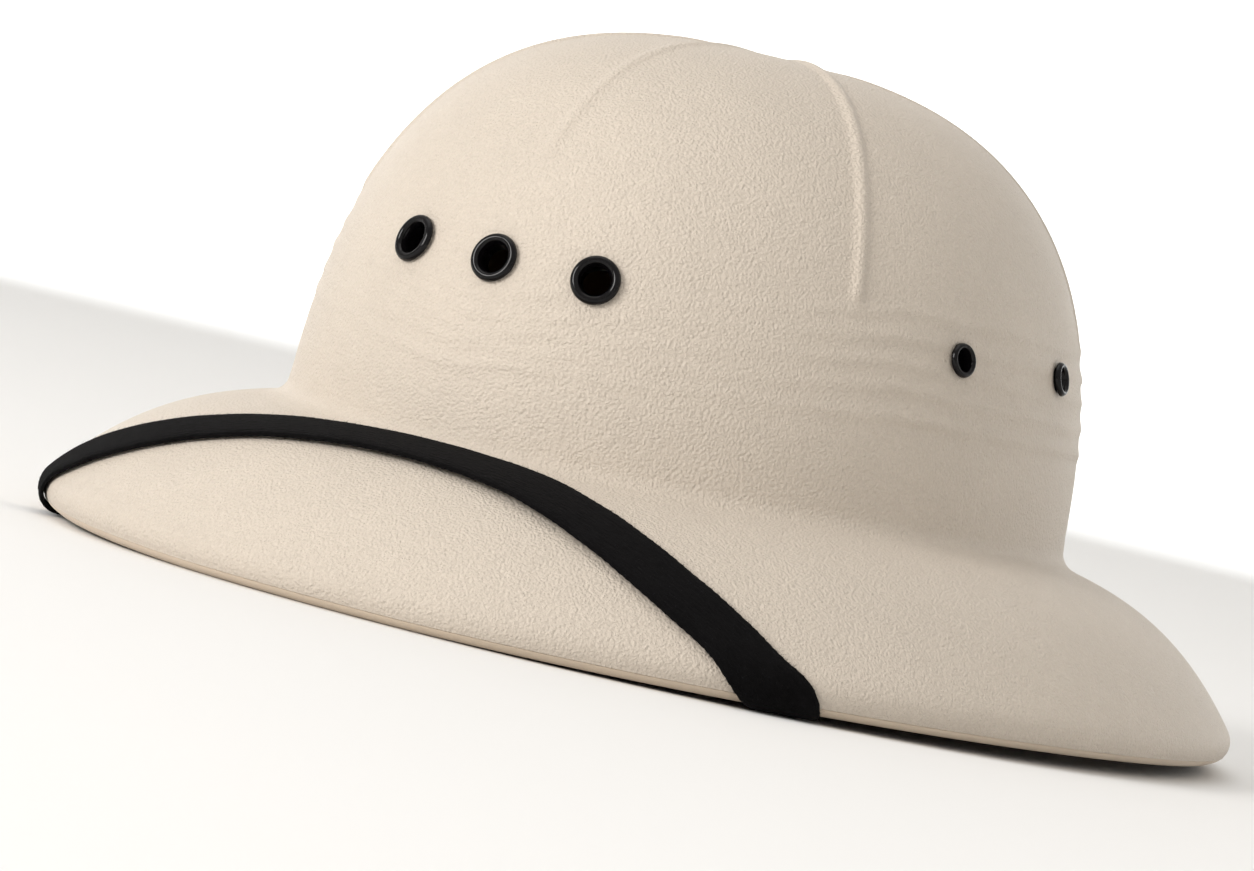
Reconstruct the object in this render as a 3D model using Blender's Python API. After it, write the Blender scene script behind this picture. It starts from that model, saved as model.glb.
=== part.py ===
"""Pith helmet: a moulded, cloth-covered sun helmet with a black strap laid over its brim.

Units are metres and +Z is up. The helmet rests on the front and back of its rim at z = 0.
The wearer faces -Y, and +X is the wearer's left. An angle round the helmet is in degrees
from the front (0) towards +X (90); the back is 180.

The shell is described by one section that is turned round two ellipses, the crown's and
the rim's. Along the section a place is one of
    crown height      metres above the table, on the crown wall and dome
    brim distance     metres along the surface from the junction, over the brim and round the lip
and depth is how far below the outer surface a point lies (negative: above it).
"""
import bisect
import math
from collections import namedtuple

import bmesh
import bpy
from mathutils import Vector

MM = 0.001

# ---- Crown: a dome whose plan is an ellipse and whose section is a superellipse ----
CROWN_HALF_WIDTH = 91.2 * MM
CROWN_HALF_LENGTH = 111.9 * MM
CROWN_CENTRE_Y = -2.2 * MM
DOME_BASE = 27.6 * MM
DOME_TOP = 145.3 * MM
DOME_ROUNDNESS = 2.728
DOME_SHOULDER = 2.745

# ---- Brim and rolled lip ----
RIM_HALF_WIDTH = 141.5 * MM
RIM_HALF_LENGTH = 165.0 * MM
FRONT_FULLNESS = 0.023
JUNCTION_HEIGHT = 38.4 * MM
JUNCTION_RADIUS = 5.0 * MM
JUNCTION_SLOPE = 12.0
RIM_SLOPE = 53.0
LIP_RADIUS = 5.0 * MM
RIM_SINK = 1.2 * MM
LIP_SIDE_ANGLE = 90.0
LIP_INNER_ANGLE = 119.0
LIP_SEAM_ANGLE = 128.0
LIP_END_ANGLE = 150.0
REBATE_FULL_ANGLE = 125.0
REBATE_EDGE_ANGLE = 123.0
SIDE_LIFT = 3.0 * MM
FLAT_REST_ANGLE = 12.0

# ---- Walls and gaps ----
SHELL_WALL = 2.4 * MM
FIT_GAP = 0.3 * MM
REBATE_DEPTH = 1.2 * MM
BINDING_WALL = 0.9 * MM
BINDING_OUTER_ANGLES = (LIP_SEAM_ANGLE, 143.0, 160.0)
BINDING_BACK_ANGLES = (156.0, 142.0, LIP_SEAM_ANGLE)
BINDING_FOOT_OUTWARD = 1.2 * MM
BINDING_FOOT_INWARD = 0.4 * MM
BINDING_TURN_INWARD = 0.9 * MM
BINDING_TURN_RISE = 1.2 * MM
BINDING_TUCK_SHARE = 0.94
SWEATBAND_WALL = 1.2 * MM
SWEATBAND_GAP = 0.45 * MM
SWEATBAND_BOTTOM = 30.0 * MM
SWEATBAND_LEVEL = 50.0 * MM
SWEATBAND_TOP = 65.0 * MM
HEM_THICK = 0.5 * MM
HEM_HEIGHT = 3.0 * MM
HEM_STEP = 0.5 * MM

# ---- Seam ribs running down from the top of the dome ----
RIB_ANGLES = (0.0, 54.0, 126.0, 180.0, 234.0, 306.0)
RIB_HEIGHT = 0.9 * MM
RIB_PROFILE = ((-2.2, 0.0), (-0.9, 0.75), (0.0, 1.0), (0.9, 0.75), (2.2, 0.0))
RIB_WIDEST_SPREAD = 3.6
RIB_ENDS = (89.5 * MM, 95.0 * MM)
RIB_TOP_RATIOS = (0.02, 0.30)
SMALLEST_RATIO = 0.05

# ---- Moulded pleats round the crown, gathered at the front ----
Pleat = namedtuple("Pleat", "front_height side_height ridge")
PLEATS = (
    Pleat(57.0 * MM, 68.0 * MM, 0.55 * MM),
    Pleat(61.0 * MM, 74.0 * MM, 0.50 * MM),
    Pleat(65.0 * MM, 80.0 * MM, 0.50 * MM),
    Pleat(69.0 * MM, 86.0 * MM, 0.50 * MM),
    Pleat(73.0 * MM, 92.0 * MM, 0.45 * MM),
)
PLEAT_RISE_ANGLE = 62.0
PLEAT_RIDGE_SHARE = 0.30
PLEAT_FAINT_SHARE = 0.35
PLEAT_FADE_OUT = (8.0, 24.0)
PLEAT_FADE_IN = (40.6, 63.8)

# ---- Eyelets: three at the front, two above each ear ----
Eyelet = namedtuple("Eyelet", "name angle height flange bore")
FRONT_FLANGE = 5.8 * MM
FRONT_BORE = 3.4 * MM
SIDE_FLANGE = 4.1 * MM
SIDE_BORE = 2.3 * MM
EYELETS = (
    Eyelet("eyelet_front_centre", 0.0, 82.4 * MM, FRONT_FLANGE, FRONT_BORE),
    Eyelet("eyelet_front_left", 16.4, 82.6 * MM, FRONT_FLANGE, FRONT_BORE),
    Eyelet("eyelet_front_right", -16.4, 82.6 * MM, FRONT_FLANGE, FRONT_BORE),
    Eyelet("eyelet_side_left_fore", 73.0, 84.0 * MM, SIDE_FLANGE, SIDE_BORE),
    Eyelet("eyelet_side_left_aft", 99.5, 85.0 * MM, SIDE_FLANGE, SIDE_BORE),
    Eyelet("eyelet_side_right_fore", -73.0, 84.0 * MM, SIDE_FLANGE, SIDE_BORE),
    Eyelet("eyelet_side_right_aft", -99.5, 85.0 * MM, SIDE_FLANGE, SIDE_BORE),
)
EYELET_BARREL_WALL = 0.5 * MM
EYELET_SEAT_GAP = 0.35 * MM
EYELET_CLINCH_GAP = 0.9 * MM
EYELET_FLANGE_RISE = 1.3 * MM
EYELET_CLINCH_WIDTH = 1.1 * MM
EYELET_CLINCH_DEPTH = 0.9 * MM
EYELET_CLEARING = (1.15, 1.9)
RollPlace = namedtuple("RollPlace", "inward rise")
EYELET_ROLL = (
    RollPlace(0.0, 0.0),
    RollPlace(0.07, 0.45),
    RollPlace(0.32, 1.0),
    RollPlace(0.62, 1.0),
    RollPlace(1.0, 0.2),
)
ClinchPlace = namedtuple("ClinchPlace", "outward drop")
EYELET_CLINCH = (
    ClinchPlace(0.0, 0.5),
    ClinchPlace(0.3, 1.0),
    ClinchPlace(1.0, 0.5),
    ClinchPlace(1.0, 0.0),
)
EYELET_SIDES = 12
EYELET_HOLE_GAP = 0.4 * MM
EYELET_HOLE_SIDES = 16

# ---- Chin strap ----
STRAP_WIDTH = 13.0 * MM
STRAP_THICK = 1.6 * MM
STRAP_PRESSED = 0.8 * MM
STRAP_GAP = 0.4 * MM
STRAP_FACE_LEVEL = 50.0 * MM
STRAP_LEAN_TOWARDS = Vector((0.3, -0.95, 0.0))
StrapPlace = namedtuple("StrapPlace", "angle distance thick lift")
STRAP_OVER_BRIM = (
    StrapPlace(46.4, 67.2 * MM, STRAP_PRESSED, 0.0),
    StrapPlace(46.1, 65.0 * MM, STRAP_PRESSED, 0.0),
    StrapPlace(45.2, 62.0 * MM, STRAP_PRESSED, 0.0),
    StrapPlace(43.3, 58.5 * MM, 1.2 * MM, 0.0),
    StrapPlace(41.2, 54.0 * MM, 1.4 * MM, 0.1 * MM),
    StrapPlace(38.6, 48.0 * MM, STRAP_THICK, 0.1 * MM),
    StrapPlace(34.4, 39.8 * MM, STRAP_THICK, 0.3 * MM),
    StrapPlace(27.0, 27.0 * MM, STRAP_THICK, 1.0 * MM),
    StrapPlace(18.0, 15.5 * MM, STRAP_THICK, 1.4 * MM),
    StrapPlace(9.0, 9.2 * MM, STRAP_THICK, 0.9 * MM),
    StrapPlace(0.0, 7.5 * MM, STRAP_THICK, 0.7 * MM),
    StrapPlace(-9.0, 9.2 * MM, STRAP_THICK, 0.5 * MM),
    StrapPlace(-18.0, 14.8 * MM, STRAP_THICK, 0.3 * MM),
    StrapPlace(-27.0, 25.5 * MM, STRAP_THICK, 0.1 * MM),
    StrapPlace(-34.0, 36.0 * MM, STRAP_THICK, 0.1 * MM),
    StrapPlace(-39.0, 44.4 * MM, STRAP_THICK, 0.2 * MM),
    StrapPlace(-42.7, 51.5 * MM, 1.4 * MM, 0.3 * MM),
    StrapPlace(-45.2, 57.5 * MM, 1.2 * MM, 0.1 * MM),
    StrapPlace(-46.8, 61.8 * MM, STRAP_PRESSED, 0.0),
    StrapPlace(-47.6, 65.4 * MM, STRAP_PRESSED, 0.0),
    StrapPlace(-48.1, 68.4 * MM, STRAP_PRESSED, 0.0),
)
StrapHang = namedtuple("StrapHang", "angle inset height face_in lean thick")
STRAP_INSIDE_LEFT = (
    StrapHang(46.3, -42.0 * MM, 0.4 * MM, 0.0, 0.0, 0.9 * MM),
    StrapHang(46.4, -39.2 * MM, 2.3 * MM, 0.0, 0.0, 1.1 * MM),
    StrapHang(47.3, -35.8 * MM, 5.2 * MM, 0.0, 0.0, 1.2 * MM),
    StrapHang(49.5, -31.6 * MM, 8.8 * MM, 0.05, 0.0, 1.3 * MM),
    StrapHang(54.4, -25.0 * MM, 12.6 * MM, 0.10, 0.0, 1.3 * MM),
    StrapHang(62.5, -14.5 * MM, 16.4 * MM, 0.20, 0.0, 1.3 * MM),
    StrapHang(74.0, -5.0 * MM, 19.0 * MM, 0.40, 0.0, 1.3 * MM),
    StrapHang(84.0, 3.0 * MM, 20.0 * MM, 0.58, 0.0, 1.3 * MM),
    StrapHang(91.0, 7.8 * MM, 24.0 * MM, 0.92, 0.0, 1.3 * MM),
    StrapHang(97.0, 7.2 * MM, 28.4 * MM, 1.0, 0.0, 1.3 * MM),
    StrapHang(103.0, 6.6 * MM, 32.4 * MM, 1.0, 0.0, 1.3 * MM),
)
STRAP_INSIDE_RIGHT = (
    StrapHang(-47.9, -40.6 * MM, 0.8 * MM, 0.0, 0.0, 0.9 * MM),
    StrapHang(-47.9, -38.2 * MM, 3.2 * MM, 0.0, 0.04, 1.1 * MM),
    StrapHang(-48.3, -34.0 * MM, 7.4 * MM, 0.0, 0.15, 1.2 * MM),
    StrapHang(-49.2, -26.0 * MM, 13.8 * MM, 0.0, 0.24, 1.3 * MM),
    StrapHang(-50.1, -18.0 * MM, 19.9 * MM, 0.0, 0.24, 1.3 * MM),
    StrapHang(-51.0, -10.0 * MM, 25.8 * MM, 0.0, 0.24, 1.3 * MM),
    StrapHang(-51.5, -4.0 * MM, 30.2 * MM, 0.0, 0.22, 1.3 * MM),
    StrapHang(-51.9, 0.3 * MM, 33.3 * MM, 0.0, 0.20, 1.3 * MM),
)
STRAP_STEPS_PER_PLACE = 2
STRAP_ACROSS = (-1.0, -0.66, -0.33, 0.0, 0.5, 1.0)

# ---- Small stitched tabs beside the strap's ends ----
Tab = namedtuple("Tab", "name angle height")
TABS = (
    Tab("strap_tab_left", 84.0, 48.0 * MM),
    Tab("strap_tab_right", -70.5, 50.0 * MM),
)
TAB_WIDTH = 10.0 * MM
TAB_DROP = 11.0 * MM
TAB_THICK = 1.0 * MM
TAB_INSET = 4.9 * MM

# ---- Mesh density ----
PLAIN_ANGLES = (12, 22, 32, 43, 65, 76, 86, 96, 106, 116, 137, 147, 157, 168)
DOME_RATIOS = (0.27, 0.45, 0.59, 0.70, 0.79)
SHOULDER_HEIGHT = 106.0 * MM
SHOULDER_SHARES = (0.0, 0.33, 0.67)
CROWN_FOOT_HEIGHT = 44.0 * MM
JUNCTION_ANGLES = (90.0, 48.0, JUNCTION_SLOPE)
BRIM_SHARES = (0.24, 0.48, 0.68, 0.85)
INNER_BRIM_SHARES = (0.88, 0.66, 0.36)
INNER_WALL_HEIGHTS = (62.0 * MM, 76.0 * MM, 89.0 * MM, 103.0 * MM)
INNER_DOME_RATIOS = (0.72, 0.48, 0.20)
SLOPE_STEP = 0.2 * MM
TURN_STEP = 0.5
WALK_FILLET_STEPS = 12
WALK_BRIM_START = 0.08
WALK_BRIM_STEPS = 24
WALK_LIP_STEPS = 12
WALK_UNDER_STEPS = 7


# ---------------------------------------------------------------- the section

Station = namedtuple("Station", "half_width half_length centre_y fullness height out up lift")


def smooth_step(value, low, high):
    """0 below low, 1 above high, with a smooth change between."""
    share = min(1.0, max(0.0, (value - low) / (high - low)))
    return share * share * (3.0 - 2.0 * share)


def dome_ratio(height):
    """Size of the crown's ellipse at a height, as a share of its full size."""
    share = min(1.0, max(0.0, (height - DOME_BASE) / (DOME_TOP - DOME_BASE)))
    return (1.0 - share ** DOME_SHOULDER) ** (1.0 / DOME_ROUNDNESS)


def dome_height(ratio):
    """Height at which the crown's ellipse has this share of its full size."""
    share = (1.0 - ratio ** DOME_ROUNDNESS) ** (1.0 / DOME_SHOULDER)
    return DOME_BASE + share * (DOME_TOP - DOME_BASE)


def crown_station(height):
    """Station on the crown's outer surface at a height."""
    ratio = dome_ratio(height)
    mean_radius = 0.5 * (CROWN_HALF_WIDTH + CROWN_HALF_LENGTH)
    narrowing = dome_ratio(height - SLOPE_STEP) - dome_ratio(height + SLOPE_STEP)
    slope = mean_radius * narrowing / (2.0 * SLOPE_STEP)
    length = math.hypot(1.0, slope)
    return Station(CROWN_HALF_WIDTH * ratio, CROWN_HALF_LENGTH * ratio, CROWN_CENTRE_Y, 0.0,
                   height, 1.0 / length, slope / length, 0.0)


def flat_station(outward, height, out, up):
    """Station outside the crown wall, a distance outward from it at a height."""
    share = outward / (RIM_HALF_WIDTH - CROWN_HALF_WIDTH)
    half_length = CROWN_HALF_LENGTH + share * (RIM_HALF_LENGTH - CROWN_HALF_LENGTH)
    return Station(CROWN_HALF_WIDTH + outward, half_length, CROWN_CENTRE_Y * (1.0 - share),
                   FRONT_FULLNESS * share, height, out, up, 1.0)


def brim_curve(share):
    """Outward distance, height and slope angle on the brim; share 0 is the junction, 1 the rim."""
    width = RIM_HALF_WIDTH - CROWN_HALF_WIDTH
    start_drop = width * math.tan(math.radians(JUNCTION_SLOPE))
    end_drop = width * math.tan(math.radians(RIM_SLOPE))
    bottom = LIP_RADIUS + LIP_RADIUS * math.cos(math.radians(RIM_SLOPE)) - RIM_SINK
    drop = JUNCTION_HEIGHT - bottom
    square = 3.0 * drop - 2.0 * start_drop - end_drop
    cube = start_drop + end_drop - 2.0 * drop
    height = JUNCTION_HEIGHT - start_drop * share - square * share ** 2 - cube * share ** 3
    fall = (start_drop + 2.0 * square * share + 3.0 * cube * share ** 2) / width
    return width * share, height, math.atan(fall)


def lip_start_share():
    """Share of the brim's width at which the lip's arc takes over."""
    reach = LIP_RADIUS * (1.0 - math.sin(math.radians(RIM_SLOPE)))
    return 1.0 - reach / (RIM_HALF_WIDTH - CROWN_HALF_WIDTH)


def brim_station(share):
    """Station on the brim's outer surface."""
    outward, height, slope = brim_curve(share)
    return flat_station(outward, height, math.sin(slope), math.cos(slope))


def lip_centre():
    """Outward distance and height of the centre of the lip's arc."""
    return RIM_HALF_WIDTH - CROWN_HALF_WIDTH - LIP_RADIUS, LIP_RADIUS


def lip_station(angle):
    """Station on the lip's arc; 90 faces straight out, 180 straight down."""
    outward, height = lip_centre()
    out = math.sin(math.radians(angle))
    up = math.cos(math.radians(angle))
    return flat_station(outward + LIP_RADIUS * out, height + LIP_RADIUS * up, out, up)


def junction_station(angle):
    """Station on the concave fillet; 90 is on the crown wall, the junction slope on the brim."""
    slope = math.radians(JUNCTION_SLOPE)
    run_out = JUNCTION_RADIUS * (1.0 - math.sin(slope))
    centre_height = JUNCTION_HEIGHT - run_out * math.tan(slope) + JUNCTION_RADIUS * math.cos(slope)
    out = math.sin(math.radians(angle))
    up = math.cos(math.radians(angle))
    return flat_station(JUNCTION_RADIUS * (1.0 - out), centre_height - JUNCTION_RADIUS * up, out, up)


def rim_lift(angle):
    """Rise of the brim at a side, none over the flat stretches at front and back."""
    flat = math.sin(math.radians(FLAT_REST_ANGLE)) ** 2
    return SIDE_LIFT * max(0.0, math.sin(math.radians(angle)) ** 2 - flat) / (1.0 - flat)


def place(angle, station, depth=0.0):
    """Point at an angle round the helmet, a depth below the outer surface of a station."""
    turn = math.radians(angle)
    half_width = station.half_width - depth * station.out
    half_length = station.half_length - depth * station.out
    return Vector((
        half_width * math.sin(turn) * (1.0 + station.fullness * math.cos(turn)),
        station.centre_y - half_length * math.cos(turn),
        station.height - depth * station.up + station.lift * rim_lift(angle),
    ))


def out_normal(angle, station):
    """Outward normal of the helmet's surface."""
    along = place(angle + TURN_STEP, station) - place(angle - TURN_STEP, station)
    level = Vector((along.y, -along.x, 0.0)).normalized()
    return (level * station.out + Vector((0.0, 0.0, station.up))).normalized()


# ---------------------------------------------------------------- relief of the crown

def pleat_height(pleat, angle):
    """Height of a pleat's ridge: gathered low at the front, level from the temples back."""
    away = abs((angle + 180.0) % 360.0 - 180.0)
    gather = max(0.0, 1.0 - away / PLEAT_RISE_ANGLE)
    return pleat.side_height - (pleat.side_height - pleat.front_height) * gather


def pleat_strength(angle):
    """Full relief at the front and the sides, faint on the smooth stretches between."""
    away = abs((angle + 180.0) % 360.0 - 180.0)
    fade = smooth_step(away, *PLEAT_FADE_OUT)
    fade *= 1.0 - smooth_step(away, *PLEAT_FADE_IN)
    return 1.0 - (1.0 - PLEAT_FAINT_SHARE) * fade


def eyelet_clearing(point):
    """0 under an eyelet's flange, 1 away from it, so that the flange sits on plain cloth."""
    nearest = min((point - place(e.angle, crown_station(e.height))).length / e.flange for e in EYELETS)
    return smooth_step(nearest, *EYELET_CLEARING)


def rib_rise(height, share):
    """Height of a seam rib over the dome, tapering out above the pleats."""
    near_top = smooth_step(dome_ratio(height), *RIB_TOP_RATIOS)
    return RIB_HEIGHT * share * near_top * smooth_step(height, *RIB_ENDS)


def meridians():
    """Angle and rib share of each line of vertices; ribs take five lines each."""
    lines = [(float(angle), None, 0.0) for angle in PLAIN_ANGLES]
    lines += [(360.0 - angle, None, 0.0) for angle in PLAIN_ANGLES]
    for rib in RIB_ANGLES:
        lines += [(rib + offset, rib, share) for offset, share in RIB_PROFILE]
    return sorted(lines, key=lambda line: line[0] % 360.0)


def line_angle(line, ratio):
    """Angle of a line of vertices; rib lines spread near the top, to keep the rib's width."""
    angle, rib, _ = line
    if rib is None:
        return angle
    return rib + (angle - rib) * min(RIB_WIDEST_SPREAD, 1.0 / max(ratio, SMALLEST_RATIO))


# ---------------------------------------------------------------- mesh helpers

def material(name, colour, roughness, metallic=0.0):
    """Principled material with plain values."""
    made = bpy.data.materials.new(name)
    made.use_nodes = True
    shader = made.node_tree.nodes["Principled BSDF"]
    shader.inputs["Base Color"].default_value = (*colour, 1.0)
    shader.inputs["Roughness"].default_value = roughness
    shader.inputs["Metallic"].default_value = metallic
    made.diffuse_color = (*colour, 1.0)
    return made


def add_object(name, verts, faces, surface, sharp_angle=40.0):
    """Object from vertices and faces, facing outward and shaded smooth."""
    mesh = bpy.data.meshes.new(name)
    mesh.from_pydata([tuple(v) for v in verts], [], faces)
    shape = bmesh.new()
    shape.from_mesh(mesh)
    bmesh.ops.recalc_face_normals(shape, faces=shape.faces)
    shape.to_mesh(mesh)
    shape.free()
    mesh.materials.append(surface)
    mesh.shade_smooth()
    mesh.set_sharp_from_angle(angle=math.radians(sharp_angle))
    made = bpy.data.objects.new(name, mesh)
    bpy.context.scene.collection.objects.link(made)
    return made


def ring_faces(rings, per_ring, closed_section=False):
    """Quads between rings of vertices, each ring closed round the helmet."""
    faces = []
    for row in range(rings if closed_section else rings - 1):
        start = row * per_ring
        following = ((row + 1) % rings) * per_ring
        for column in range(per_ring):
            beside = (column + 1) % per_ring
            faces.append((start + column, following + column, following + beside, start + beside))
    return faces


# ---------------------------------------------------------------- shell

def crown_rows(angle):
    """Heights of the rows down the crown at an angle: dome, pleats, plain wall."""
    heights = [dome_height(ratio) for ratio in DOME_RATIOS]
    ridges = [pleat_height(pleat, angle) for pleat in reversed(PLEATS)]
    spread = PLEAT_RIDGE_SHARE * (ridges[0] - ridges[-1]) / (len(PLEATS) - 1)
    for share in SHOULDER_SHARES:
        heights.append(SHOULDER_HEIGHT + share * (ridges[0] + spread - SHOULDER_HEIGHT))
    for ridge in ridges:
        heights += [ridge + spread, ridge, ridge - spread]
    heights.append(0.5 * (ridges[-1] - spread + CROWN_FOOT_HEIGHT))
    return heights


def pleat_rise(row, angle):
    """Height of the pleat ridge on a row of the crown; only the middle row of three stands out."""
    first = len(DOME_RATIOS) + len(SHOULDER_SHARES)
    index = row - first
    if index < 0 or index >= 3 * len(PLEATS) or index % 3 != 1:
        return 0.0
    pleat = PLEATS[len(PLEATS) - 1 - index // 3]
    return pleat.ridge * pleat_strength(angle)


def outer_crown_point(line, row, height):
    """Point of the crown's outer surface with its ribs and pleats."""
    ratio = dome_ratio(height)
    angle = line_angle(line, ratio)
    station = crown_station(height)
    smooth = place(angle, station)
    rise = rib_rise(height, line[2]) + pleat_rise(row, angle) * eyelet_clearing(smooth)
    return place(angle, station, -rise)


def brim_stations():
    """Stations of the outer surface from the fillet to the end of the lip, with their depths."""
    last = lip_start_share()
    rows = [(junction_station(angle), 0.0) for angle in JUNCTION_ANGLES]
    rows += [(brim_station(share), 0.0) for share in (*BRIM_SHARES, last)]
    rows += [(lip_station(angle), 0.0) for angle in (LIP_SIDE_ANGLE, REBATE_EDGE_ANGLE)]
    rows += [(lip_station(angle), REBATE_DEPTH) for angle in (REBATE_FULL_ANGLE, LIP_END_ANGLE)]
    return rows


def inner_stations():
    """Stations of the inner surface from the end of the lip back to the top of the dome."""
    rows = [lip_station(LIP_END_ANGLE), lip_station(LIP_INNER_ANGLE)]
    rows += [brim_station(share) for share in (lip_start_share(), *INNER_BRIM_SHARES)]
    rows += [junction_station(angle) for angle in reversed(JUNCTION_ANGLES)]
    rows += [crown_station(height) for height in INNER_WALL_HEIGHTS]
    rows += [crown_station(dome_height(ratio)) for ratio in INNER_DOME_RATIOS]
    return rows


def shell_mesh(surface):
    """Crown and brim as one moulded wall, closed over the lip and at both poles."""
    lines = meridians()
    verts = []
    row_heights = [crown_rows(line[0]) for line in lines]
    for row in range(len(row_heights[0])):
        verts += [outer_crown_point(line, row, heights[row]) for line, heights in zip(lines, row_heights)]
    for station, depth in brim_stations():
        verts += [place(line[0], station, depth) for line in lines]
    for station in inner_stations():
        verts += [place(line[0], station, SHELL_WALL) for line in lines]
    count = len(lines)
    rings = len(verts) // count
    faces = ring_faces(rings, count)
    apex = len(verts)
    verts.append(Vector((0.0, CROWN_CENTRE_Y, DOME_TOP)))
    verts.append(Vector((0.0, CROWN_CENTRE_Y, DOME_TOP - SHELL_WALL)))
    last = (rings - 1) * count
    for column in range(count):
        beside = (column + 1) % count
        faces.append((apex, column, beside))
        faces.append((apex + 1, last + beside, last + column))
    return add_object("shell", verts, faces, surface, 50.0)


def eyelet_frame(eyelet):
    """Centre on the outer surface, outward normal and two directions along the surface."""
    station = crown_station(eyelet.height)
    centre = place(eyelet.angle, station)
    normal = out_normal(eyelet.angle, station)
    side = Vector((0.0, 0.0, 1.0)).cross(normal).normalized()
    return centre, normal, side, normal.cross(side)


def turned_rings(eyelet, profile, sides):
    """Vertices of a profile of (radius, height over the surface) turned about an eyelet's axis."""
    centre, normal, side, rise = eyelet_frame(eyelet)
    verts = []
    for radius, height in profile:
        for step in range(sides):
            turn = 2.0 * math.pi * step / sides
            around = side * math.cos(turn) + rise * math.sin(turn)
            verts.append(centre + around * radius + normal * height)
    return verts


def punch_eyelet_holes(shell, surface):
    """Cut a round hole through the shell for each eyelet's barrel."""
    for eyelet in EYELETS:
        radius = eyelet.bore + EYELET_BARREL_WALL + EYELET_HOLE_GAP
        reach = 4.0 * SHELL_WALL
        verts = turned_rings(eyelet, ((radius, reach), (radius, -reach)), EYELET_HOLE_SIDES)
        faces = ring_faces(2, EYELET_HOLE_SIDES)
        faces.append(tuple(range(EYELET_HOLE_SIDES)))
        faces.append(tuple(reversed(range(EYELET_HOLE_SIDES, 2 * EYELET_HOLE_SIDES))))
        cutter = add_object("cutter_" + eyelet.name, verts, faces, surface)
        cutter.hide_render = True
        cutter.display_type = "WIRE"
        cut = shell.modifiers.new("hole_" + eyelet.name, "BOOLEAN")
        cut.operation = "DIFFERENCE"
        cut.object = cutter


# ---------------------------------------------------------------- rim binding and sweatband

def binding_section():
    """Closed section of the folded edging, as stations with their depths."""
    inner_face = SHELL_WALL + FIT_GAP
    last = lip_start_share()
    centre_out, _ = lip_centre()
    rows = [(lip_station(angle), 0.0) for angle in BINDING_OUTER_ANGLES]
    rows += [(flat_station(centre_out + BINDING_FOOT_OUTWARD, 0.0, 0.0, -1.0), 0.0)]
    rows += [(flat_station(centre_out - BINDING_FOOT_INWARD, 0.0, 0.0, -1.0), 0.0)]
    rows += [(flat_station(centre_out - BINDING_TURN_INWARD, BINDING_TURN_RISE, 0.0, -1.0), 0.0)]
    rows += [(lip_station(LIP_INNER_ANGLE), inner_face + BINDING_WALL)]
    rows += [(brim_station(share), inner_face + BINDING_WALL) for share in (last, BINDING_TUCK_SHARE)]
    rows += [(brim_station(share), inner_face) for share in (BINDING_TUCK_SHARE, last)]
    rows += [(lip_station(angle), inner_face) for angle in (LIP_INNER_ANGLE, BINDING_BACK_ANGLES[0])]
    rows += [(lip_station(angle), BINDING_WALL) for angle in BINDING_BACK_ANGLES]
    return rows


def swept_band(name, section, surface):
    """Closed section carried round the helmet on the shell's plain lines and its ribs' feet."""
    angles = [line[0] for line in meridians() if line[2] == 0.0]
    verts = []
    for station, depth in section:
        verts += [place(angle, station, depth) for angle in angles]
    faces = ring_faces(len(section), len(angles), closed_section=True)
    return add_object(name, verts, faces, surface, 50.0)


def sweatband_section():
    """Closed section of the head band: outer face on the wall, hemmed at its lower edge."""
    near = SHELL_WALL + SWEATBAND_GAP
    far = near + SWEATBAND_WALL
    hem_top = SWEATBAND_BOTTOM + HEM_HEIGHT
    middle = crown_station(SWEATBAND_LEVEL)._replace(up=0.0, out=1.0)
    low = middle._replace(height=SWEATBAND_BOTTOM)
    hem = middle._replace(height=hem_top)
    over_hem = middle._replace(height=hem_top + HEM_STEP)
    top = crown_station(SWEATBAND_TOP)._replace(up=0.0, out=1.0)
    rows = [(top, near), (middle, near), (low, near), (low, far + HEM_THICK)]
    rows += [(hem, far + HEM_THICK), (over_hem, far), (middle, far), (top, far)]
    return rows


# ---------------------------------------------------------------- eyelets

def eyelet_profile(eyelet):
    """Closed profile of a clinched eyelet: rolled flange, barrel and inner clinch."""
    barrel = eyelet.bore + EYELET_BARREL_WALL
    width = eyelet.flange - eyelet.bore
    reach = EYELET_BARREL_WALL + EYELET_CLINCH_WIDTH
    back = -(SHELL_WALL + EYELET_CLINCH_GAP)
    profile = []
    for spot in EYELET_ROLL:
        rise = EYELET_SEAT_GAP + spot.rise * EYELET_FLANGE_RISE
        profile.append((eyelet.flange - spot.inward * width, rise))
    for spot in EYELET_CLINCH:
        drop = back - spot.drop * EYELET_CLINCH_DEPTH
        profile.append((eyelet.bore + spot.outward * reach, drop))
    return profile + [(barrel, back), (barrel, EYELET_SEAT_GAP)]


def eyelet_mesh(eyelet, surface):
    """One enamelled eyelet."""
    profile = eyelet_profile(eyelet)
    verts = turned_rings(eyelet, profile, EYELET_SIDES)
    faces = ring_faces(len(profile), EYELET_SIDES, closed_section=True)
    return add_object(eyelet.name, verts, faces, surface, 60.0)


# ---------------------------------------------------------------- chin strap

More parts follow.
